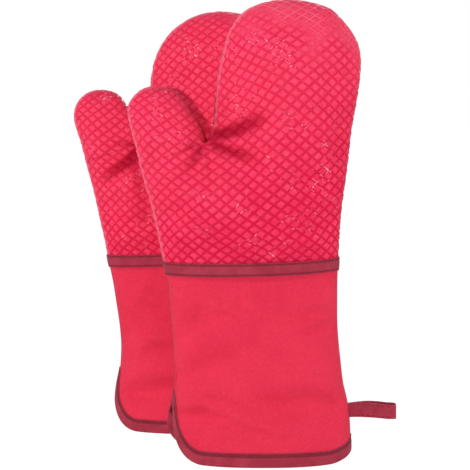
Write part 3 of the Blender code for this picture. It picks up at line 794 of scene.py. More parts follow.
    def set_points(self, flat_points, shares):
        """Lays points of the plan on the filled shape, and finds their places on the flat cloth."""
        cut = self.plan
        reach, out = cut.reach_in(flat_points)
        reach[self.seam] = 0
        self.reach, self.outward = reach, out
        swell = cut.swell(flat_points[:, 0], flat_points[:, 1], reach)
        relief = cut.relief(flat_points[:, 0], flat_points[:, 1]) * np.clip(swell / RELIEF_FADE, 0, 1)
        x = flat_points[:, 0].copy()
        for side in (NEAR, FAR):
            here = self.side == side
            x[here] -= cut.flare(shares[here], flat_points[here, 1], side)
        self.flat_points = flat_points
        self.points = np.stack([x, self.side * (swell + relief), flat_points[:, 1]], 1)
        self.cloth = flat_points + out * self.extra_way(reach)[:, None]
        for x, z, turn, wide in TURNS[self.prefix]:
            away = self.cloth - np.array([x, z]) * MM
            fade = np.exp(-(away**2).sum(1) / (wide * MM) ** 2)[:, None]
            self.cloth = self.cloth + math.radians(turn) * fade * np.stack([-away[:, 1], away[:, 0]], 1)

    def press_folds(self):
        """Presses the folds in and adds how the cloth settled, and works out the normals."""
        self.find_normals()
        near = self.side == NEAR
        edge = np.clip(np.abs(self.points[:, 1]) / FOLD_FADE, 0, 1)
        depth = self.plan.fold_depth(self.flat_points) * edge * near
        y = self.points[:, 1]
        self.points[:, 1] = np.where(near, np.minimum(y + depth, -FOLD_ROOM), y)
        self.points += self.settled
        # Painted shade, deeper with a fold's depth and beside the crotch; where it is slight, a painted
        # highlight on the seams' rims instead, stronger where they face left.
        crease = np.maximum(depth / FULL_SHADE_DEPTH, self.crotch_painted_shade())
        highlit = np.exp(-((self.reach / RIM_HIGHLIGHT_REACH) ** 2)) * (0.4 + 0.6 * smooth_step(0.3 - self.outward[:, 0]))
        self.crease = np.where(crease > LEAST_PAINTED_SHADE, crease, -highlit)
        self.wall_normals = self.normals
        self.find_normals()

    def crotch_painted_shade(self):
        """Painted shade for the crease between thumb and fingers, fading up their seams."""
        cut = self.plan
        crease = np.zeros(len(self.flat_points))
        for line, steps in zip((cut.thumb_side[::-1], cut.finger_side), CROTCH_PAINTED_SHADE_STEPS):
            line = line[:steps:2]
            gap = np.linalg.norm(self.flat_points[:, None] - line[None], axis=-1)
            fade = 1 - gap.argmin(1) / (len(line) - 1)
            near = np.exp(-((gap.min(1) / CROTCH_PAINTED_SHADE_REACH) ** 2))
            crease = np.maximum(crease, CROTCH_PAINTED_SHADE * fade * near)
        return crease

    def settle(self, flat_points):
        """Inflates the coarse skin as cloth, a little larger than its cut, held at seams, join and hem, and
        keeps how far each point moved."""
        cut = self.plan
        self.side = np.where(self.tables["seam"] > ON_SEAM, 0, self.tables["side"])
        self.seam = self.side == 0
        self.settled = np.zeros((len(flat_points), 3))
        self.set_points(flat_points, self.tables["share"])
        mesh = bpy.data.meshes.new("settling")
        mesh.from_pydata(self.points.tolist(), [], self.faces)
        made = add_object("settling", mesh)
        low = cut.hem_height(self.tables["share"]) + HELD_HEM
        join = np.abs(flat_points[:, 1] - cut.join_height(self.tables["share"])) < HELD_JOIN
        held = made.vertex_groups.new(name="held")
        held.add(np.flatnonzero(self.seam | join | (flat_points[:, 1] < low)).tolist(), 1, "REPLACE")
        cloth = made.modifiers.new("cloth", "CLOTH")
        settings = cloth.settings
        settings.quality, settings.mass, settings.vertex_group_mass = 6, 0.3, "held"
        settings.tension_stiffness = settings.compression_stiffness = 20
        settings.shear_stiffness, settings.bending_stiffness = 8, 1.5
        settings.shrink_min = settings.shrink_max = -CLOTH_EXCESS
        settings.use_pressure, settings.uniform_pressure_force = True, CLOTH_PRESSURE
        settings.effector_weights.gravity = 0
        cloth.collision_settings.use_collision = False
        cloth.point_cache.frame_start, cloth.point_cache.frame_end = 1, CLOTH_FRAMES
        for number in range(1, CLOTH_FRAMES + 1):
            bpy.context.scene.frame_set(number)
        bpy.ops.object.modifier_apply(modifier=cloth.name)
        bpy.context.scene.frame_set(1)
        moved = places_in(made.data) - self.points
        moved[:, 1] -= self.side * self.swelling(flat_points, moved[:, 1] * self.side)
        size = np.linalg.norm(moved, axis=1)
        moved *= np.minimum(1, CLOTH_LIMIT / np.maximum(size, 1e-9))[:, None]
        moved *= smooth_step((flat_points[:, 1] - low) / FREED_OVER)[:, None]
        moved[:, [0, 2]] *= smooth_step((cut.reach_in(flat_points)[0] - HELD_SEAM) / FREED_OVER)[:, None]
        self.settled = moved
        bpy.data.objects.remove(made)

    def swelling(self, flat_points, outward):
        """How far each side has swollen as a whole round each point, which its wadding holds it back from."""
        swollen = np.zeros(len(flat_points))
        for side in (NEAR, FAR):
            here = self.side == side
            away = flat_points[here][:, None] - flat_points[here][None]
            weight = np.exp(-0.5 * (away**2).sum(-1) / CLOTH_EVENING**2)
            swollen[here] = weight @ outward[here] / weight.sum(1)
        return swollen

    def extra_way(self, reach):
        """How much longer the swollen face is than the plan, from its middle out to a point near the seam."""
        steps = np.linspace(0, 1, 400) ** 2 * SWELL_REACH
        inward = 1 - steps / SWELL_REACH
        half = FACE_HALF_THICKNESS * (1 - inward**FACE_ROUNDNESS) ** (1 / FACE_ROUNDNESS)
        longer = np.hypot(np.diff(steps), np.diff(half)) - np.diff(steps)
        left = np.concatenate([np.cumsum(longer[::-1])[::-1], [0]])
        return np.interp(reach, steps, left)

    def find_normals(self):
        corners = self.points[self.quads]
        normal = np.cross(corners[:, 2] - corners[:, 0], corners[:, 3] - corners[:, 1])
        total = np.zeros_like(self.points)
        for k in range(4):
            np.add.at(total, self.quads[:, k], normal)
        self.normals = total / np.maximum(np.linalg.norm(total, axis=1), 1e-12)[:, None]


@functools.lru_cache(None)
def skin(prefix):
    return Skin(prefix)


# Making


def make_piece(name, material, points, faces, cloth=None, crease=None):
    """A piece from points in the part's frame. cloth gives each point's place on the flat cloth, in metres,
    and the last argument how much painted shade a point gets in a fold or beside the crotch, from 0 to 1, or
    how much painted highlight it gets near a seam's rim, down to -1."""
    mesh = bpy.data.meshes.new(name)
    mesh.from_pydata(np.asarray(points).tolist(), [], [list(map(int, f)) for f in faces])
    mesh.materials.append(material)
    if cloth is not None:
        write_cloth(mesh, mesh.uv_layers.new(name="cloth"), cloth)
    if crease is not None:
        write_values(mesh, "crease", crease)
    mesh.shade_smooth()
    return add_object(name, mesh)


def apply_all(made):
    only(made)
    for modifier in list(made.modifiers):
        bpy.ops.object.modifier_apply(modifier=modifier.name)


def wall_of(prefix, parts, outer_depth, inner_depth):
    """Points, faces, cloth places and painted shade and highlight of a closed wall between two depths under
    parts of the skin.
    """
    whole = skin(prefix)
    quads = whole.quads[np.isin(whole.part, parts)]
    used, quads = np.unique(quads, return_inverse=True)
    quads = quads.reshape(-1, 4)
    points, normals, side = whole.points[used], whole.wall_normals[used], whole.side[used]

    def under(depth):
        moved = points - normals * (depth * hem_share(points[:, 2]))[:, None]
        if depth:
            y = side * np.maximum(side * moved[:, 1], SEAM_ROOM)
            moved[:, 1] = np.where(side == 0, 0, y)
        return moved

    count = len(points)
    rim = {}
    for quad in quads.tolist():
        for a, b in zip(quad, quad[1:] + quad[:1]):
            if (b, a) in rim:
                del rim[(b, a)]
            else:
                rim[(a, b)] = (b, a, a + count, b + count)
    faces = quads.tolist() + (quads[:, ::-1] + count).tolist() + list(rim.values())
    both = np.concatenate([under(outer_depth), under(inner_depth)]) + whole.plan.origin
    return both, faces, np.concatenate([whole.cloth[used]] * 2), np.concatenate([whole.crease[used]] * 2)


def hem_share(z):
    """How much of its depth a layer keeps, as the layers thin down to the hem."""
    thin, full = HEM_DEPTH, LINING_FACE_DEPTH
    return (thin + (full - thin) * smooth_step(z / HEM_THINNING)) / full


def finish_piece(made, body, slot, *nodes):
    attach(made, body)
    if nodes:
        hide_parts(*nodes)
    return made


def both_sides(prefix, *layers):
    return [f"{prefix}_{side}_{layer}" for side in ("palm", "back") for layer in layers]


def bend_with(made, prefix, part):
    """Works out where a piece would blend from the mitt to its fingers or thumb, and bakes its transform; the
    blend is not made.
    """
    cut = plan(prefix)
    x, y = cut.origin[:2]
    if part == "fingers":
        start, end = ((x, y, CROTCH_Z + way) for way in FINGER_BEND)
    else:
        root = (cut.thumb_side[cut.root_index] + cut.finger_side[0]) / 2
        start = (x + root[0], y, root[1])
        end = (start[0] + THUMB_UP[0] * THUMB_BEND, y, start[2] + THUMB_UP[1] * THUMB_BEND)
    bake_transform(made)


def make_wall(prefix, name, parts, depths, material, bends, nodes):
    """A closed wall under parts of the skin, with its transform baked and the CAD nodes that it stands for
    hidden.
    """
    made = make_piece(f"{prefix}_{name}", material, *wall_of(prefix, parts, *depths))
    bend_with(made, prefix, bends)
    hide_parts(*nodes)
    return made


class StageMaker(bpy.types.Operator):
    """Add the floor, the lamps, the pale surroundings and the camera"""

    bl_idname = "mitts.stage"
    bl_label = "Stage"

    def execute(self, context):
        make_stage()
        return {"FINISHED"}


class HandMaker(bpy.types.Operator):
    """Make the padded hand parts and thumbs"""

    bl_idname = "mitts.hands"
    bl_label = "Hand parts"

    def execute(self, context):
        depths, cotton = (0, WADDING_DEPTH), printed_cotton()
        for prefix in PREFIXES:
            layers = ("panel", "wadding")
            nodes = both_sides(prefix, *layers) + both_sides(f"{prefix}_fingers", *layers)
            hand = make_wall(prefix, "hand", (HAND,), depths, cotton, "fingers", nodes)
            nodes = both_sides(f"{prefix}_thumb", *layers)
            thumb = make_wall(prefix, "thumb", (THUMB,), depths, cotton, "thumb", nodes)
        return {"FINISHED"}


class CuffMaker(bpy.types.Operator):
    """Make the plain padded cuffs"""

    bl_idname = "mitts.cuffs"
    bl_label = "Cuffs"

    def execute(self, context):
        cotton = plain_cotton()
        for prefix in PREFIXES:
            cuff = make_piece(f"{prefix}_cuff", cotton, *wall_of(prefix, (CUFF,), 0, WADDING_DEPTH))
            finish_piece(cuff, f"{prefix}_mitt", "plain_cotton", *both_sides(prefix, "cuff"))
        return {"FINISHED"}


class LiningMaker(bpy.types.Operator):
    """Make the towelling linings"""

    bl_idname = "mitts.linings"
    bl_label = "Linings"

    def execute(self, context):
        depths, towel = (LINING_DEPTH, LINING_FACE_DEPTH), towelling()
        for prefix in PREFIXES:
            nodes = both_sides(prefix, "lining") + both_sides(f"{prefix}_fingers", "lining")
            make_wall(prefix, "lining", (CUFF, HAND), depths, towel, "fingers", nodes)
            nodes = both_sides(f"{prefix}_thumb", "lining")
            make_wall(prefix, "thumb_lining", (THUMB,), depths, towel, "thumb", nodes)
        return {"FINISHED"}


def cell_axes():
    """For each family of lines, the direction on the cloth along which its number grows by one a line."""
    (ax, az), (bx, bz) = CELL_SIDES
    size = ax * bz - az * bx
    return np.array([[bz, -bx], [-az, ax]]) / size


def trace_lines(points, marks, quads, value):
    """Follow value's whole numbers over quads. Gives lists of points, each with its marks."""
    links, place = {}, {}

    def cross(a, b, level):
        key = (min(a, b), max(a, b), level)
        if key not in place:
            first, second = key[:2]
            share = (level - value[first]) / (value[second] - value[first])
            tables = (points, marks)
            place[key] = tuple(table[first] * (1 - share) + table[second] * share for table in tables)
        return key

    low, high = np.ceil(value[quads].min(1)), np.floor(value[quads].max(1))
    for quad in quads[low <= high].tolist():
        crossings = {}
        for a, b in zip(quad, quad[1:] + quad[:1]):
            if a == b:
                continue
            start, end = sorted((value[a], value[b]))
            for level in range(math.ceil(start), math.floor(end) + 1):
                if start < level <= end:
                    crossings.setdefault(level, []).append(cross(a, b, level))
        for found in crossings.values():
            for a, b in zip(found[::2], found[1::2]):
                if a != b:
                    links.setdefault(a, []).append(b)
                    links.setdefault(b, []).append(a)
    lines, done = [], set()
    for here in sorted(links, key=lambda key: len(links[key])):
        line = []
        while here is not None and here not in done:
            done.add(here)
            line.append(here)
            here = next((k for k in links[here] if k not in done), None)
        if len(line) > 2:
            lines.append([place[k] for k in line])
    return lines


def thin_out(line, gap):
    """Drop points that lie closer than gap to the last one kept; the ends stay."""
    kept = [line[0]]
    for item in line[1:-1]:
        if np.linalg.norm(item[0] - kept[-1][0]) >= gap:
            kept.append(item)
    if len(kept) > 1 and np.linalg.norm(line[-1][0] - kept[-1][0]) < gap / 2:
        kept.pop()
    return kept + [line[-1]]


def raised_lines(lines, width, height):
    """Points, faces and painted shade and highlight of low rounded strips along lines."""
    points, faces, crease = [], [], []
    sides = len(LINE_PROFILE)
    for line in lines:
        line = thin_out(line, LINE_STEP)
        if len(line) < 2:
            continue
        place, marks = (np.array(table) for table in zip(*line))
        crease += np.repeat(marks[:, 3], sides).tolist()
        normal = marks[:, :3]
        normal /= np.linalg.norm(normal, axis=1)[:, None]
        ahead = np.gradient(place, axis=0)
        ahead /= np.maximum(np.linalg.norm(ahead, axis=1), 1e-9)[:, None]
        side = np.cross(ahead, normal)
        side /= np.maximum(np.linalg.norm(side, axis=1), 1e-9)[:, None]
        first = len(points)
        for p, n, s in zip(place, normal, side):
            points += [p + s * (a * width) + n * (b * height) for a, b in LINE_PROFILE]
        rings = [list(range(first + sides * i, first + sides * (i + 1))) for i in range(len(place))]
        for a, b in zip(rings, rings[1:]):
            faces += [(a[k - 1], a[k], b[k], b[k - 1]) for k in (*range(1, sides), 0)]
        faces += [rings[0][::-1], rings[-1]]
    return points, faces, crease


class GridMaker(bpy.types.Operator):
    """Print the raised silicone grid on the hand parts and thumbs"""

    bl_idname = "mitts.silicone_grid"
    bl_label = "Silicone grid"

    def execute(self, context):
        material = silicone()
        for prefix in PREFIXES:
            whole = skin(prefix)
            for part, name, end in ((HAND, "hand", "fingers"), (THUMB, "thumb", "thumb")):
                quads, marks = whole.quads[whole.part == part], np.column_stack([whole.normals, whole.crease])
                lines = []
                for axis in cell_axes():
                    value = whole.cloth @ axis + GRID_SHIFT
                    for side in (NEAR, FAR):
                        here = np.sign(whole.side[quads].sum(1)) == side
                        lines += trace_lines(whole.points, marks, quads[here], value)
                points, faces, crease = raised_lines(lines, sizes().line_width, sizes().line_height)
                points = np.array(points) + whole.plan.origin
                grid = make_piece(f"{prefix}_{name}_grid", material, points, faces, None, crease)
                bend_with(grid, prefix, end)
        return {"FINISHED"}


def band(name, along, across, place, thickness, material):
    """A strip of tape: a grid primitive laid by place(along, across), then thickened outwards."""
    bpy.ops.object.select_all(action="DESELECT")
    bpy.ops.mesh.primitive_grid_add(x_subdivisions=along, y_subdivisions=across, size=1, calc_uvs=True)
    made = bpy.context.object
    made.name = made.data.name = name
    shares = places_in(made.data) + 0.5
    points, cloth = place(shares[:, 0], shares[:, 1])
    made.data.vertices.foreach_set("co", np.ascontiguousarray(points).ravel())
    made.data.uv_layers[0].name = "cloth"
    write_cloth(made.data, made.data.uv_layers[0], cloth)
    made.data.materials.append(material)
    only(made)
    bpy.ops.object.mode_set(mode="EDIT")
    bpy.ops.mesh.select_all(action="SELECT")
    bpy.ops.mesh.remove_doubles(threshold=MERGE_GAP)
    bpy.ops.object.mode_set(mode="OBJECT")
    thick = made.modifiers.new("thick", "SOLIDIFY")
    thick.thickness, thick.offset = thickness, 1
    soft = made.modifiers.new("soft", "BEVEL")
    soft.width, soft.segments = TAPE_BEVEL, 2
    soft.limit_method, soft.angle_limit = "ANGLE", math.radians(50)
    apply_all(made)
    made.data.shade_smooth()
    return made


def groove(way, middle, deep, wide):
    """How far the thread draws a tape in beside a row of stitches."""
    return deep * np.exp(-(((way - middle) / wide) ** 2))


class TapeMaker(bpy.types.Operator):
    """Lay the tapes over the joins of hand part and cuff"""

    bl_idname = "mitts.join_tapes"
    bl_label = "Join tapes"

    def execute(self, context):
        material, tall = tape_cloth(), sizes().tape_height
        for prefix in PREFIXES:
            cut = plan(prefix)

            def place(u, v):
                turn = u * 2 * np.pi
                z = cut.join_height((1 - np.cos(turn)) / 2) + (v - 0.5) * tall
                edge = np.minimum(v, 1 - v) * tall
                points = cut.on_cuff(turn, z, -TAPE_LIFT + groove(edge, STITCH_INSET, *TAPE_GROOVE))[0]
                return points + cut.origin, np.stack([u * JOIN_ROUND, edge], 1)

            made = band(f"{prefix}_join_tape", 260, 16, place, sizes().tape_thickness, material)
            finish_piece(made, f"{prefix}_mitt", "burgundy_tape", *both_sides(prefix, "join_tape"))
            rows = []
            turn = np.linspace(0, 2 * np.pi, 800)
            for v in (-0.5 * tall + STITCH_INSET, 0.5 * tall - STITCH_INSET):
                z = cut.join_height((1 - np.cos(turn)) / 2) + v
                line, normal = cut.on_cuff(turn, z, -sizes().tape_thickness - JOIN_THREAD_LIFT)
                rows.append((line + cut.origin, normal))
            row = stitches(f"{prefix}_join_stitches", rows)
            finish_piece(row, f"{prefix}_mitt", "burgundy_tape")
        return {"FINISHED"}


@functools.lru_cache(None)
def hem_path(prefix):
    """The hem's edge on the unrolled cuff, from the top of the notch round to it again: way round and height,
    and the direction into the cloth."""
    cut = plan(prefix)
    shares, ways = cut.hem_table
    width = ways[-1]
    way = width * np.concatenate([np.linspace(0, 1, 500) ** 2 * 0.3, 0.3 + 0.7 * np.linspace(0, 1, 500)[1:]])
    height = cut.hem_height(np.interp(way, ways, shares))
    path = np.stack([way, height], 1)
    path = np.concatenate([path, (path * (-1, 1) + (2 * width, 0))[::-1][1:]])
    even = np.linspace(0, ways_along(path)[-1], 900)
    path = point_at(path, ways_along(path), even)
    ahead = np.gradient(path, axis=0)
    into = np.stack([-ahead[:, 1], ahead[:, 0]], 1)
    half = 15
    longer = np.concatenate([np.repeat(into[:1], half, 0), into, np.repeat(into[-1:], half, 0)])
    spread = np.ones(2 * half + 1) / (2 * half + 1)
    into = np.stack([np.convolve(longer[:, k], spread, "valid") for k in (0, 1)], 1)
    return path, into / np.linalg.norm(into, axis=1)[:, None], even, width


def on_hem(prefix, along, into, depth):
    """Points and normals on the cuff by the hem, at a share of the way along it, a way in and a depth."""
    cut = plan(prefix)
    path, inward, even, width = hem_path(prefix)
    way = along * even[-1]
    place = point_at(path, even, way) + point_at(inward, even, way) * into[..., None]
    shares, ways = cut.hem_table
    share = np.interp(width - np.abs(width - place[..., 0]), ways, shares)
    turn = np.arccos(1 - 2 * share)
    turn = np.where(place[..., 0] > width, 2 * np.pi - turn, turn)
    return cut.on_cuff(turn, place[..., 1] + EDGE_LIFT, depth)


def binding_fold(across, tall):
    """Way in and depth of the binding, from its outer edge (0) round the hem to its inner edge (1)."""
    inner, outer = HEM_DEPTH + BINDING_ROOM, -BINDING_LIFT
    fold = (inner - outer) / 2
    total = 2 * tall + math.pi * fold
    way = across * total
    bend = np.clip((way - tall) / fold, 0, math.pi)
    drop = np.sin(bend) ** 0.6 * EDGE_BULGE
    into = np.where(way < tall, tall - way, np.where(way > total - tall, way - (total - tall), -drop))
    return into, outer + fold * (1 - np.cos(bend)) + groove(way, HEM_STITCH_INSET, *BINDING_GROOVE)


def binding_share(along):
    """How much of its width the binding has: less at its ends, in the notch."""
    return np.minimum(1, END_WIDTH + np.minimum(along, 1 - along) * END_TAPER)


class BindingMaker(bpy.types.Operator):
    """Fold the bindings round the hems and stitch them"""

    bl_idname = "mitts.hem_bindings"
    bl_label = "Hem bindings"

    def execute(self, context):
        material, tall = tape_cloth(), sizes().binding_height
        for prefix in PREFIXES:
            origin = plan(prefix).origin

            def place(u, v):
                into, depth = binding_fold(v, tall)
                points = on_hem(prefix, u, into * np.where(into > 0, binding_share(u), 1), depth)[0]
                edge = SEAM_LINE + (np.minimum(v, 1 - v) * BINDING_WAY - HEM_STITCH_INSET) * BINDING_SHARE
                return points + origin, np.stack([u * HEM_ROUND, edge], 1)

            made = band(f"{prefix}_hem_binding", 300, 30, place, sizes().tape_thickness, material)
            finish_piece(made, f"{prefix}_mitt", "burgundy_tape", *both_sides(prefix, "hem_binding"))
            rows = []
            for span in HEM_SPANS:
                along = np.linspace(*span, 500)
                way = tall * binding_share(along) - HEM_STITCH_INSET
                line, normal = on_hem(prefix, along, way, -sizes().tape_thickness - HEM_THREAD_LIFT)
                rows.append((line + origin, normal))
            row = stitches(f"{prefix}_hem_stitches", rows)
            finish_piece(row, f"{prefix}_mitt", "burgundy_tape")
        return {"FINISHED"}


def one_stitch():
    """A stitch along X, as points and faces: a sphere with blunted ends, flattened underneath."""
    bpy.ops.object.select_all(action="DESELECT")
    bpy.ops.mesh.primitive_uv_sphere_add(segments=8, ring_count=5, radius=0.5, rotation=(0, math.pi / 2, 0))
    made = bpy.context.object
    bpy.ops.object.transform_apply(location=True, rotation=True, scale=True)
    points = np.array([v.co for v in made.data.vertices])
    faces = [tuple(p.vertices) for p in made.data.polygons]
    mesh = made.data
    bpy.data.objects.remove(made)
    bpy.data.meshes.remove(mesh)
    points[:, 0] = np.sign(points[:, 0]) * 0.5 * np.abs(2 * points[:, 0]) ** 0.7
    points[:, 2] = np.maximum(points[:, 2], -0.25)
    return points, faces


def stitches(name, rows):
    """Stitches laid end to end along rows of points with their normals."""
    shape, shape_faces = one_stitch()
    long, gap = sizes().stitch_length, sizes().stitch_gap
    points, faces = [], []
    for line, normal in rows:
        ways = ways_along(line)
        count = int(ways[-1] / (long + gap))
        middle = (np.arange(count) + 0.5) * ways[-1] / count
        start, end = point_at(line, ways, middle - long / 2), point_at(line, ways, middle + long / 2)
        up = point_at(normal, ways, middle)
        ahead = end - start
        ahead /= np.linalg.norm(ahead, axis=1)[:, None]
        side = np.cross(up, ahead)
        side /= np.linalg.norm(side, axis=1)[:, None]
        up = np.cross(ahead, side)
        for a, b, x, y, z in zip(start, end, ahead, side, up):
            first = len(points)
            points += list((a + b) / 2 + shape * (long, STITCH_WIDTH, STITCH_HEIGHT) @ np.array([x, y, z]))
            faces += [tuple(first + k for k in face) for face in shape_faces]
    return make_piece(name, thread(), np.array(points), faces)


class LoopMaker(bpy.types.Operator):
    """Fold the hanging loops and stitch their edges"""

    bl_idname = "mitts.hanging_loops"
    bl_label = "Hanging loops"

    def execute(self, context):
        thick = LOOP_THICKNESS
        for prefix in PREFIXES:
            low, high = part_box(f"{prefix}_hanging_loop")
            long, gap = high.x - low.x, (high.y - low.y) / 2 - thick - LOOP_ROOM
            middle_y, tall = (low.y + high.y) / 2, high.z - low.z - LOOP_SLACK
            leaf = np.array([
                (-0.0012, 0.0001), (0.1 * long, 0.0002), (0.25 * long, 0.3 * gap), (0.45 * long, 0.8 * gap),
                (0.7 * long, gap), (long + 0.001, gap), (long + 0.001, gap - 0.0002), (long + 0.001, 0),
            ])
            line = np.concatenate([leaf * (1, -1), leaf[::-1][1:]])
            ways = ways_along(line)
            weights = np.exp(-0.5 * (np.arange(-9, 10) / 3.0) ** 2)
            fine = evened_line(point_at(line, ways, np.linspace(0, ways[-1], 200)), weights / weights.sum())

            def at(u, v):
                x, y = point_at(fine, ways_along(fine), u * ways_along(fine)[-1]).T
                out = x / long
                bow = LOOP_BOW * np.sin(np.pi * np.clip(out * 1.15, 0, 1)) - LOOP_DROP * out
                z = low.z + LOOP_FOOT + v * tall * (1 + LOOP_GROWTH * np.sin(np.pi * out)) + bow
                return np.stack([low.x + x, middle_y + y, z], -1)

            def place(u, v):
                return at(u, v), np.stack([u * ways[-1], LOOP_EDGE + np.minimum(v, 1 - v) * tall], 1)

            made = band(f"{prefix}_hanging_loop_tape", 120, 8, place, thick, tape_cloth())
            finish_piece(made, f"{prefix}_loop", "burgundy_tape", f"{prefix}_hanging_loop")
            rows = []
            for v, span in itertools.product(LOOP_ROWS, LOOP_SPANS):
                line = at(np.linspace(*span, 120), v)
                normal = np.cross(np.gradient(line, axis=0), (0, 0, 1))
                normal /= np.linalg.norm(normal, axis=1)[:, None]
                rows.append((line + normal * (thick + LOOP_THREAD_LIFT), normal))
            row = stitches(f"{prefix}_loop_stitches", rows)
            finish_piece(row, f"{prefix}_loop", "burgundy_tape")
        return {"FINISHED"}


def make_stage():
    bpy.ops.object.select_all(action="DESELECT")
    bpy.ops.mesh.primitive_plane_add(size=FLOOR_SIZE, location=(0, 0, -FLOOR_DROP))
    floor = bpy.context.object
    floor.name = "floor"
    floor.data.materials.append(floor_paint())
    for name, place, aim, size, power in LAMPS:
        bpy.ops.object.light_add(type="AREA", location=place)
        lamp = bpy.context.object
        lamp.name = lamp.data.name = name
        lamp.data.size, lamp.data.energy = size, power
        lamp.rotation_euler = (Vector(aim) - Vector(place)).to_track_quat("-Z", "Y").to_euler()
    bpy.context.scene.world = surroundings()
    bpy.context.scene.view_settings.view_transform = "Standard"
    bpy.ops.object.camera_add(location=CAMERA_PLACE, rotation=(math.radians(90 - CAMERA_DIP), 0, 0))
    camera = bpy.context.object
    camera.name = camera.data.name = "camera"
    camera.data.lens, camera.data.sensor_width, camera.data.shift_y = CAMERA_LENS, 36, CAMERA_SHIFT
    camera.data.clip_start = CAMERA_NEAR
    bpy.context.scene.camera = camera


# Finishes


class Number:
    """A number in a shader, so that its maths reads as written."""

    def __init__(self, finish, socket):
        self.finish, self.socket = finish, socket

    def do(self, operation, *others):
        return self.finish.maths(operation, self, *others)

    def __add__(self, other):
        return self.do("ADD", other)

    def __sub__(self, other):
        return self.do("SUBTRACT", other)

    def __rsub__(self, other):
        return self.finish.maths("SUBTRACT", other, self)

    def __mul__(self, other):
        return self.do("MULTIPLY", other)

    __radd__, __rmul__ = __add__, __mul__


class Finish:
    """One material, or the surroundings, and its nodes."""

    def __init__(self, name, kind=bpy.data.materials, output="ShaderNodeOutputMaterial"):
        self.made = kind.new(name)
        self.made.use_nodes = True
        self.tree = self.made.node_tree
        self.tree.nodes.clear()
        self.output = self.tree.nodes.new(output)

    def node(self, kind, settings=None, inputs=None, output=0):
        """Add a node with its settings, then its sockets' values or links, and give one of its outputs."""
        made = self.tree.nodes.new(kind)
        for name, value in (settings or {}).items():
            setattr(made, name, value)
        for name, value in (inputs or {}).items():
            if isinstance(value, Number):
                self.tree.links.new(value.socket, made.inputs[name])
            else:
                made.inputs[name].default_value = value
        return Number(self, made.outputs[output])

    def maths(self, operation, *values):
        return self.node("ShaderNodeMath", {"operation": operation}, dict(enumerate(values)))

    def mixed(self, factor, a, b):
        """A colour between two."""
        a, b = (v if isinstance(v, Number) else (*v, 1) for v in (a, b))
        return self.node("ShaderNodeMix", {"data_type": "RGBA"}, {0: factor, 6: a, 7: b}, 2)

    def noise(self, place, scale, detail=2.0, roughness=0.5):
        inputs = {"Vector": place, "Scale": scale, "Detail": detail, "Roughness": roughness}
        return self.node("ShaderNodeTexNoise", None, inputs)

    def ramp(self, value, low, high, to_low=0.0, to_high=1.0):
        """Value from low to high, eased into to_low to to_high."""
        return self.node(
            "ShaderNodeMapRange", {"interpolation_type": "SMOOTHSTEP"},
            {"Value": value, "From Min": low, "From Max": high, "To Min": to_low, "To Max": to_high},
        )

    def object_place(self):
        return self.node("ShaderNodeTexCoord", None, None, "Object")

    def cloth_place(self):
        return self.node("ShaderNodeUVMap", {"uv_map": "cloth"})

    def split(self, place):
        made = self.tree.nodes.new("ShaderNodeSeparateXYZ")
        self.tree.links.new(place.socket, made.inputs[0])
        return [Number(self, made.outputs[k]) for k in range(3)]

    def bump(self, height, distance, strength=1.0):
        inputs = {"Height": height, "Distance": distance, "Strength": strength}
        return self.node("ShaderNodeBump", None, inputs)

    def painted_top_highlight(self, place, lean=-0.6, low=0.195, high=0.285):
        """Painted highlight, paler towards the top: little low down towards the fingers' outer side, and full
        above.
        """
        x, _, z = self.split(place)
        return self.ramp(z + x * lean + self.noise(place, 45.0) * 0.07, low, high)

    def streaks(self, place, way):
        """Noise drawn out along a way in the mitt's plan."""
        x, y, z = self.split(place)
        c, s = way[0] / math.hypot(*way), way[1] / math.hypot(*way)
        along, across = (x * c + z * s) * 200, (z * c - x * s) * 850
        return self.noise(self.node("ShaderNodeCombineXYZ", None, {0: along, 1: across, 2: y * 60}), 1.0, 1.0)

    def with_painted_light(self, colour):
        """Colour with painted shade in creases and beside the crotch, and a painted highlight along the
        seams' rims.
        """
        crease = self.node("ShaderNodeAttribute", {"attribute_name": "crease"}, None, "Fac")
        colour = self.mixed(self.ramp(crease * -1, 0.1, 0.9, 0.0, 0.62), colour, PAINTED_RIM_COLOUR)
        return self.mixed(self.ramp(crease, 0.08, 0.7, 0.0, 0.72), colour, PAINTED_SHADE_COLOUR)

    def seen(self):
        """1 for rays from the camera, by way of gloss or glass too, and 0 for rays that light the piece."""
        kinds = ("Is Camera Ray", "Is Glossy Ray", "Is Transmission Ray")
        camera, gloss, glass = (self.node("ShaderNodeLightPath", None, None, kind) for kind in kinds)
        return camera.do("MAXIMUM", gloss).do("MAXIMUM", glass)

    def finished(self, shader):
        self.tree.links.new(shader.socket, self.output.inputs["Surface"])
        return self.made

    def principled(self, **inputs):
        names = {k.replace("_", " "): v for k, v in inputs.items()}
        return self.finished(self.node("ShaderNodeBsdfPrincipled", None, names))


def tinted(colour, *shares):
    """A colour with each of its parts times a share."""
    return tuple(min(1, part * share) for part, share in zip(colour, shares))


def weave(u, v, pitch):
    """Height of a plain weave, 0 to 1, over cloth places."""
    warp = (u * (math.pi / pitch)).do("SINE")
    weft = (v * (math.pi / pitch)).do("SINE")
    return warp * weft * 0.5 + 0.5


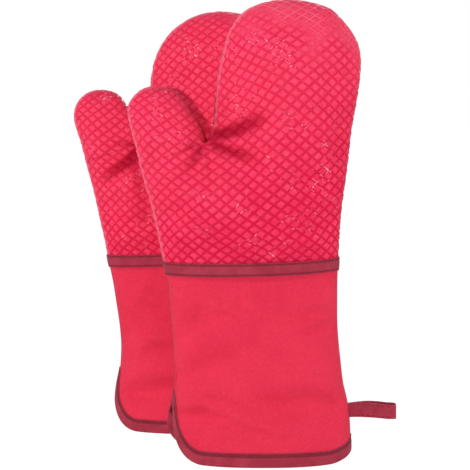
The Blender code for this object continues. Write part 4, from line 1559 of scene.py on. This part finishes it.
@functools.lru_cache(None)
def printed_cotton():
    made = Finish("printed_cotton")
    u, v, _ = made.split(made.cloth_place())
    lines = []
    for ax, az in cell_axes().tolist():
        number = u * ax + v * az + (GRID_SHIFT + 0.5)
        lines.append((number.do("FRACT") - 0.5).do("ABSOLUTE"))
    edge = lines[0].do("SMOOTH_MIN", lines[1], 0.16)
    flat, pillow = made.ramp(edge, 0.02, 0.3), made.ramp(edge, 0.08, 0.4)
    place = made.object_place()
    # Painted highlight, paler towards the top, on the cells and beside the lines.
    top_highlight = made.painted_top_highlight(place)
    cloud = made.noise(place, 60.0, 3.0)
    fleck, speck = made.noise(place, 900.0, 2.0), made.noise(place, 480.0, 2.0)
    dye = colours().printed
    # The colour in the middle of a cell: tone that differs at random, paler towards the top by a painted
    # highlight, with specks.
    highlit = made.mixed(made.ramp(cloud, 0.3, 0.7), tinted(dye, 0.95, 0.8, 0.88), tinted(dye, 1.04, 1.3, 1.15))
    highlit = made.mixed(top_highlight * 0.5, highlit, tinted(dye, 1.04, 2.2, 1.5))
    highlit = made.mixed(made.ramp(speck, 0.3, 0.5, 0.35, 0.0), highlit, tinted(dye, 0.8, 0.4, 0.65))
    highlit = made.mixed(made.ramp(speck, 0.52, 0.7, 0.0, 0.35), highlit, tinted(dye, 1.06, 3.4, 1.9))
    # Painted shade beside the raised lines, where the cotton is darker than in the middle of a cell.
    shaded = made.mixed(top_highlight, tinted(dye, 0.88, 0.42, 0.68), tinted(dye, 0.95, 0.7, 0.85))
    colour = made.with_painted_light(made.mixed(flat, shaded, highlit))
    threads = weave(u, v, PRINTED_PITCH)
    height = pillow * 0.4 + threads * 0.14 + fleck * 0.2
    return made.principled(
        Base_Color=colour, Roughness=made.ramp(fleck, 0.3, 0.7, 0.75, 0.92), Normal=made.bump(height, 0.0005),
        Specular_IOR_Level=0.06, Sheen_Weight=0.15, Sheen_Roughness=0.4, Sheen_Tint=(1.0, 0.4, 0.5, 1),
    )


@functools.lru_cache(None)
def silicone():
    made = Finish("silicone")
    dye = colours().silicone
    place = made.object_place()
    cloud, fleck = made.noise(place, 120.0, 2.0), made.noise(place, 1400.0, 2.0)
    glint = made.streaks(place, CELL_SIDES[0]).do("MAXIMUM", made.streaks(place, CELL_SIDES[1]))
    # Painted highlight: the lines paler towards the top, and a pale pink painted reflection near the
    # fingertips.
    colour = made.mixed(made.painted_top_highlight(place), tuple(dye), tinted(dye, 1.14, 2.2, 1.4))
    colour = made.mixed(made.painted_top_highlight(place, 0.3, 0.345, 0.39) * 0.8, colour, (0.95, 0.15, 0.24))
    # Painted glints: short pale pink dashes along the lines, in patches.
    patches = made.ramp(made.noise(place, 38.0), 0.47, 0.6)
    colour = made.mixed(made.ramp(glint * patches, 0.63, 0.7, 0.0, 0.9), colour, (1.0, 0.33, 0.43))
    return made.principled(
        Base_Color=made.with_painted_light(colour), Roughness=made.ramp(cloud, 0.4, 0.66, 0.5, 0.3),
        Normal=made.bump(fleck, 0.0004),
        Coat_Weight=made.ramp(fleck * cloud, 0.3, 0.36, 0.0, 0.3), Coat_Roughness=0.2,
        Specular_IOR_Level=0.04,
    )


@functools.lru_cache(None)
def plain_cotton():
    made = Finish("plain_cotton")
    u, v, _ = made.split(made.cloth_place())
    dye = colours().plain
    place = made.object_place()
    cloud, fleck = made.noise(place, 28.0, 3.0), made.noise(place, 1100.0, 2.0)
    threads = weave(u, v, PLAIN_PITCH)
    light, dark = tinted(dye, 1.04, 1.2, 1.1), tinted(dye, 0.96, 0.85, 0.92)
    colour = made.mixed(made.ramp(cloud, 0.25, 0.75), dark, light)
    colour = made.mixed(threads * 0.12, colour, tinted(dye, 0.8, 0.6, 0.7))
    speck = made.noise(place, 520.0, 2.0)
    colour = made.mixed(made.ramp(speck, 0.3, 0.5, 0.3, 0.0), colour, tinted(dye, 0.86, 0.6, 0.75))
    colour = made.mixed(made.ramp(speck, 0.5, 0.7, 0.0, 0.25), colour, tinted(dye, 1.12, 2, 1.5))
    return made.principled(
        Base_Color=colour, Roughness=0.85, Normal=made.bump(threads * 0.7 + fleck * 0.3, 0.00012),
        Specular_IOR_Level=0.3, Sheen_Weight=0.04, Sheen_Roughness=0.4, Sheen_Tint=(1.0, 0.6, 0.65, 1),
    )


@functools.lru_cache(None)
def tape_cloth():
    made = Finish("burgundy_tape")
    u, v, _ = made.split(made.cloth_place())
    dye = colours().tape
    place = made.object_place()
    cloud, fleck = made.noise(place, 90.0, 3.0), made.noise(place, 1300.0, 3.0)
    ribs = (u * (math.pi / RIB_PITCH)).do("SINE") * 0.5 + 0.5
    light, dark = tinted(dye, 1.12, 1.3, 1.25), tinted(dye, 0.88, 0.75, 0.82)
    colour = made.mixed(made.ramp(cloud, 0.3, 0.7), dark, light)
    colour = made.mixed(made.ramp(fleck, 0.55, 0.75, 0.0, 0.45), colour, tinted(dye, 1.4, 3.2, 2.4))
    colour = made.mixed(made.ramp(fleck, 0.45, 0.3, 0.0, 0.5), colour, tinted(dye, 0.6, 0.4, 0.5))
    # Painted shade in the groove along the stitch line, a darker band in the tape's colour.
    seam = made.ramp((v - SEAM_LINE).do("ABSOLUTE"), 0.0003, 0.0011, 0.75, 0.0)
    colour = made.mixed(seam, colour, tinted(dye, 0.42, 0.3, 0.35))
    return made.principled(
        Base_Color=colour, Roughness=0.8, Normal=made.bump(ribs * 0.5 + fleck * 0.5, 0.0002),
        Specular_IOR_Level=0.3, Sheen_Weight=0.05, Sheen_Roughness=0.4, Sheen_Tint=(0.9, 0.6, 0.65, 1),
    )


@functools.lru_cache(None)
def thread():
    made = Finish("thread")
    dye = colours().tape
    strand = made.noise(made.object_place(), 2500.0, 2.0)
    light, dark = tinted(dye, 0.8, 1.3, 1.1), tinted(dye, 0.45, 0.4, 0.4)
    return made.principled(
        Base_Color=made.mixed(made.ramp(strand, 0.35, 0.65), dark, light), Roughness=0.6,
        Normal=made.bump(strand, 0.0001), Specular_IOR_Level=0.2,
    )


@functools.lru_cache(None)
def towelling():
    made = Finish("towelling")
    dye = colours().towelling
    place = made.object_place()
    loops, cloud = made.noise(place, 700.0, 3.0, 0.6), made.noise(place, 50.0)
    colour = made.mixed(made.ramp(loops, 0.3, 0.7), tinted(dye, 0.7, 0.6, 0.6), tinted(dye, 1, 1.3, 1.2))
    return made.principled(
        Base_Color=colour, Roughness=0.95, Normal=made.bump(loops + cloud * 0.2, 0.0012),
        Sheen_Weight=0.4, Sheen_Roughness=0.6,
    )


def floor_paint():
    """Pale paint that the camera sees as bright as the surroundings."""
    made = Finish("floor")
    matte = made.node("ShaderNodeBsdfDiffuse", None, {"Color": (0.9, 0.9, 0.9, 1)})
    bright = made.node("ShaderNodeEmission", None, {"Color": (1, 1, 1, 1), "Strength": FLOOR_GLOW})
    shader = made.node("ShaderNodeMixShader", None, {0: made.seen() * FLOOR_SHARE, 1: matte, 2: bright})
    return made.finished(shader)


def surroundings():
    """White to the camera, and a faint light to everything else."""
    made = Finish("surroundings", bpy.data.worlds, "ShaderNodeOutputWorld")
    faint, white = (
        made.node("ShaderNodeBackground", None, {"Color": (1, 1, 1, 1), "Strength": power})
        for power in (AMBIENT, 1)
    )
    return made.finished(made.node("ShaderNodeMixShader", None, {0: made.seen(), 1: faint, 2: white}))


class MittPanel(bpy.types.Panel):
    """The buttons for each kind of piece"""

    bl_idname = "VIEW3D_PT_mitts"
    bl_label = "Oven Mitts"
    bl_space_type = "VIEW_3D"
    bl_region_type = "UI"
    bl_category = "Mitts"

    def draw(self, context):
        for maker in MAKERS:
            self.layout.operator(maker.bl_idname)
        for group in (context.scene.mitt_sizes, context.scene.mitt_colours):
            for name in group.bl_rna.properties.keys():
                if name not in ("rna_type", "name"):
                    self.layout.prop(group, name)


MAKERS = (StageMaker, HandMaker, GridMaker, CuffMaker, LiningMaker, TapeMaker, BindingMaker, LoopMaker)
CLASSES = (MittSizes, MittColours, *MAKERS, MittPanel)


def register():
    for made in CLASSES:
        bpy.utils.register_class(made)
    bpy.types.Scene.mitt_sizes = bpy.props.PointerProperty(type=MittSizes)
    bpy.types.Scene.mitt_colours = bpy.props.PointerProperty(type=MittColours)


def unregister():
    del bpy.types.Scene.mitt_sizes
    del bpy.types.Scene.mitt_colours
    for made in reversed(CLASSES):
        bpy.utils.unregister_class(made)


def main():
    register()
    bpy.ops.mitts.stage()
    bpy.ops.mitts.hands()
    bpy.ops.mitts.silicone_grid()
    bpy.ops.mitts.cuffs()
    bpy.ops.mitts.linings()
    bpy.ops.mitts.join_tapes()
    bpy.ops.mitts.hem_bindings()
    bpy.ops.mitts.hanging_loops()


if __name__ == "__main__":
    main()
